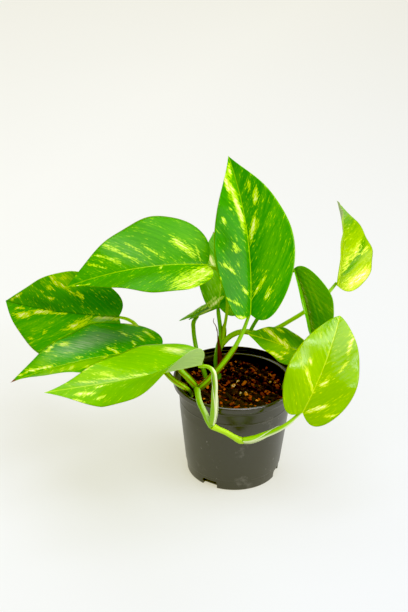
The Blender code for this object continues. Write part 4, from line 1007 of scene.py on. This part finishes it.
def makeSheathTree():
    # a thin shell that clasps part of a path, narrowing to a point, with an uneven margin
    tree, add, known = newTree("claspingSheath", Geometry="Geometry", Int="Rows Columns", Vector="Back Looks",
                               Float="From To Clearance Sweep Thickness Frill", Material="Material")
    flat = add("GeometryNodeInputPosition")
    known["ripple"] = add("ShaderNodeTexNoise", flat, 9.0, 2.0)
    known.update(zip(("gridX", "gridY"), add("ShaderNodeSeparateXYZ", flat).outputs))
    for made, operation, *values in sheathSteps:
        known[made] = add("ShaderNodeMath", *(known.get(value, value) for value in values), operation=operation)
    sheet = add("GeometryNodeMeshGrid", 1.0, 1.0, known["Rows"], known["Columns"])
    form = add("ShaderNodeCombineXYZ", known["run"], known["across"], 0.0)
    for kept, value in (("form", form), ("looks", known["Looks"])):
        sheet = add("GeometryNodeStoreNamedAttribute", sheet, None, kept, value, data_type="FLOAT_VECTOR")
    sample = add("GeometryNodeSampleCurve", known["Geometry"], add("GeometryNodeInputRadius"), known["factor"],
                 mode="FACTOR", data_type="FLOAT")
    known["radius"], centre, ahead = sample.outputs[0], sample.outputs[1], sample.outputs[2]
    for made, operation, *values in armSteps:
        known[made] = add("ShaderNodeMath", *(known.get(value, value) for value in values), operation=operation)
    # a direction away from the opening and one to the right, both square to the path
    along = add("ShaderNodeVectorMath", known["Back"], ahead, operation="PROJECT")
    back = add("ShaderNodeVectorMath", add("ShaderNodeVectorMath", known["Back"], along, operation="SUBTRACT"),
               operation="NORMALIZE")
    right = add("ShaderNodeVectorMath", back, ahead, operation="CROSS_PRODUCT")
    parts = [add("ShaderNodeVectorMath", direction, Scale=known[share], operation="SCALE")
             for direction, share in ((back, "backShare"), (right, "rightShare"))]
    arm = add("ShaderNodeVectorMath", add("ShaderNodeVectorMath", *parts, operation="ADD"), Scale=known["arm"],
              operation="SCALE")
    placed = add("GeometryNodeSetPosition", sheet, None, add("ShaderNodeVectorMath", centre, arm, operation="ADD"))
    outer = add("GeometryNodeExtrudeMesh", placed, None, None, known["thick"], False)
    joined = add("GeometryNodeJoinGeometry", [outer, add("GeometryNodeFlipFaces", placed)])
    closed = add("GeometryNodeMergeByDistance", joined, None, touching)
    smooth = add("GeometryNodeSetShadeSmooth", add("GeometryNodeRealizeInstances", closed))
    add("NodeGroupOutput", add("GeometryNodeSetMaterial", smooth, None, known["Material"]))
    return tree


def makeFuseTree():
    # one closed skin from tubes that run into each other
    tree, add, given = newTree("fuseStems", Geometry="Geometry", Material="Material")
    whole = add("GeometryNodeMeshBoolean", operation="UNION", solver="EXACT",
                **{"Mesh 2": given["Geometry"], "Self Intersection": True})
    clean = add("GeometryNodeMergeByDistance", whole, None, weld)
    smooth = add("GeometryNodeSetShadeSmooth", clean)
    add("NodeGroupOutput", add("GeometryNodeSetMaterial", add("GeometryNodeRealizeInstances", smooth), None,
                               given["Material"]))
    return tree


def makeStemSkin():
    # green vine and petiole: smooth waxy skin over lengthwise fibres, yellow where it is young, pale at a sheath's
    # margin and painted pale on one side as a painted sheen where light would catch it, rusty at the margin of a
    # sheath that has dried
    material, add = makeMaterial("vineSkin")
    run, around = (add("ShaderNodeAttribute", attribute_name=kept).outputs["Fac"] for kept in ("run", "around"))
    looks, form = (add("ShaderNodeSeparateXYZ", add("ShaderNodeAttribute", attribute_name=kept).outputs["Vector"])
                   for kept in ("looks", "form"))
    turn = add("ShaderNodeMath", around, math.tau, operation="MULTIPLY")
    fibreAt = [add("ShaderNodeMath", run, 1 / fibreLength, operation="MULTIPLY")]
    for wave in ("COSINE", "SINE"):
        fibreAt.append(add("ShaderNodeMath", add("ShaderNodeMath", turn, operation=wave), fibreSpread,
                           operation="MULTIPLY"))
    fibres = add("ShaderNodeTexNoise", add("ShaderNodeCombineXYZ", *fibreAt), 1.6, 3.0)
    cloud = add("ShaderNodeTexNoise", add("ShaderNodeTexCoord").outputs["Object"], 60.0, 3.0)      # 17 mm
    base = add("ShaderNodeMix", add("ShaderNodeMapRange", fibres, 0.35, 0.65), hexToLinear("#4B9A14"),
               hexToLinear("#74BC2A"), data_type="RGBA")
    young = add("ShaderNodeMath", looks.outputs[0], add("ShaderNodeMapRange", cloud, 0.3, 0.7, 0.7, 1.0),
                operation="MULTIPLY")
    # a painted sheen on the route's chosen side, standing for the light that side would catch
    sided = add("ShaderNodeVectorMath", add("ShaderNodeNewGeometry").outputs["Normal"],
                add("ShaderNodeAttribute", attribute_name="paleSide").outputs["Vector"], operation="DOT_PRODUCT")
    sheenOnSide = add("ShaderNodeMapRange", sided.outputs["Value"], 0.15, 0.75, interpolation_type="SMOOTHSTEP")
    margin = add("ShaderNodeMapRange", add("ShaderNodeMath", form.outputs[1], operation="ABSOLUTE"), 0.84, 0.93,
                 interpolation_type="SMOOTHSTEP")
    pallorAndSheen = add("ShaderNodeMath", looks.outputs[1], add("ShaderNodeMath", sheenOnSide, margin, operation="MAXIMUM"),
                 operation="MULTIPLY")
    rust = add("ShaderNodeMath", margin, looks.outputs[2], operation="MULTIPLY")
    # pale over a sheath's margin, the stem's own colour, and over the chosen side, a painted sheen
    colour = layColours(add, base, (young, "#B4DC28"), (pallorAndSheen, "#E8EEC0"), (rust, "#8A4A1E"))
    return finish(material, fibres, 0.4, 0.3, colour=colour, roughness=0.36, ior=1.42)


def makeDriedSheath():
    # sheath that has died back: papery, folded lengthwise, in lengthwise streaks from maroon to brown
    material, add = makeMaterial("driedSheathPaper")
    form = add("ShaderNodeAttribute", attribute_name="form").outputs["Vector"]
    stretched = add("ShaderNodeVectorMath", form, (1.5, 6.0, 0.0), operation="MULTIPLY")
    ribs = add("ShaderNodeTexNoise", stretched, 3.0, 3.0)
    ramp = tintRamp(add("ShaderNodeValToRGB", ribs), (0.35, "#3A0E0A"), (0.70, "#7E3420"))
    return finish(material, ribs, 0.5, 0.4, colour=ramp, roughness=0.6)


def joinPieces(name, pieces):
    with bpy.context.temp_override(active_object=pieces[0], object=pieces[0], selected_objects=pieces,
                                   selected_editable_objects=pieces):
        bpy.ops.object.join()
    pieces[0].name = name
    return pieces[0]


def makeStems():
    tubeTree, fuseTree, sheathTree, skin = makeTubeTree(), makeFuseTree(), makeSheathTree(), makeStemSkin()
    sheaths = []
    for node, routes in stems.items():
        runs = []
        for number, own in enumerate(routes):
            route = {**plain, **own}
            points = route["points"] + ([petioleEnd(blades[route["blade"]])] if "blade" in route else [])
            looks = [route["yellow"], route["pale"], route["rust"]]
            settings = dict(tube, Looks=looks, PaleSide=[float(value) for value in route["paleSide"]])
            runs.append(grow(f"{node}_{number}", tubeTree, settings, routeCurve(node, points)))
            if "sheath" in route:
                start, end, opens = route["sheath"]
                settings = {**sheath, "From": start, "To": end, "Back": [-float(value) for value in opens],
                            "Looks": looks, "Material": skin}
                sheaths.append(grow(f"sheath_{node}_{number}", sheathTree, settings, routeCurve(node, points)))
        joined = joinPieces(node + "_runs", runs) if len(runs) > 1 else runs[0]
        mesh = joined.data.copy()
        bpy.data.objects.remove(joined)
        keep(grow("grown_" + node, fuseTree, {"Material": skin}, mesh), "vine_green", node)
    keep(joinPieces("petioleSheaths", sheaths), "vine_green")
    paper = makeDriedSheath()
    piece = grow("driedSheath", sheathTree, {**sheath, **driedSheath, "Material": paper},
                 routeCurve("driedSheath", driedRoute))
    thread = grow("driedThread", tubeTree, dict(tube, Sides=8), routeCurve("thread", driedThread))
    thread.data.materials.clear()
    thread.data.materials.append(paper)
    keep(joinPieces("driedSheath", [piece, thread]), "dry_sheath", "dried_sheath")


makeStems()
print("vines and petioles made")
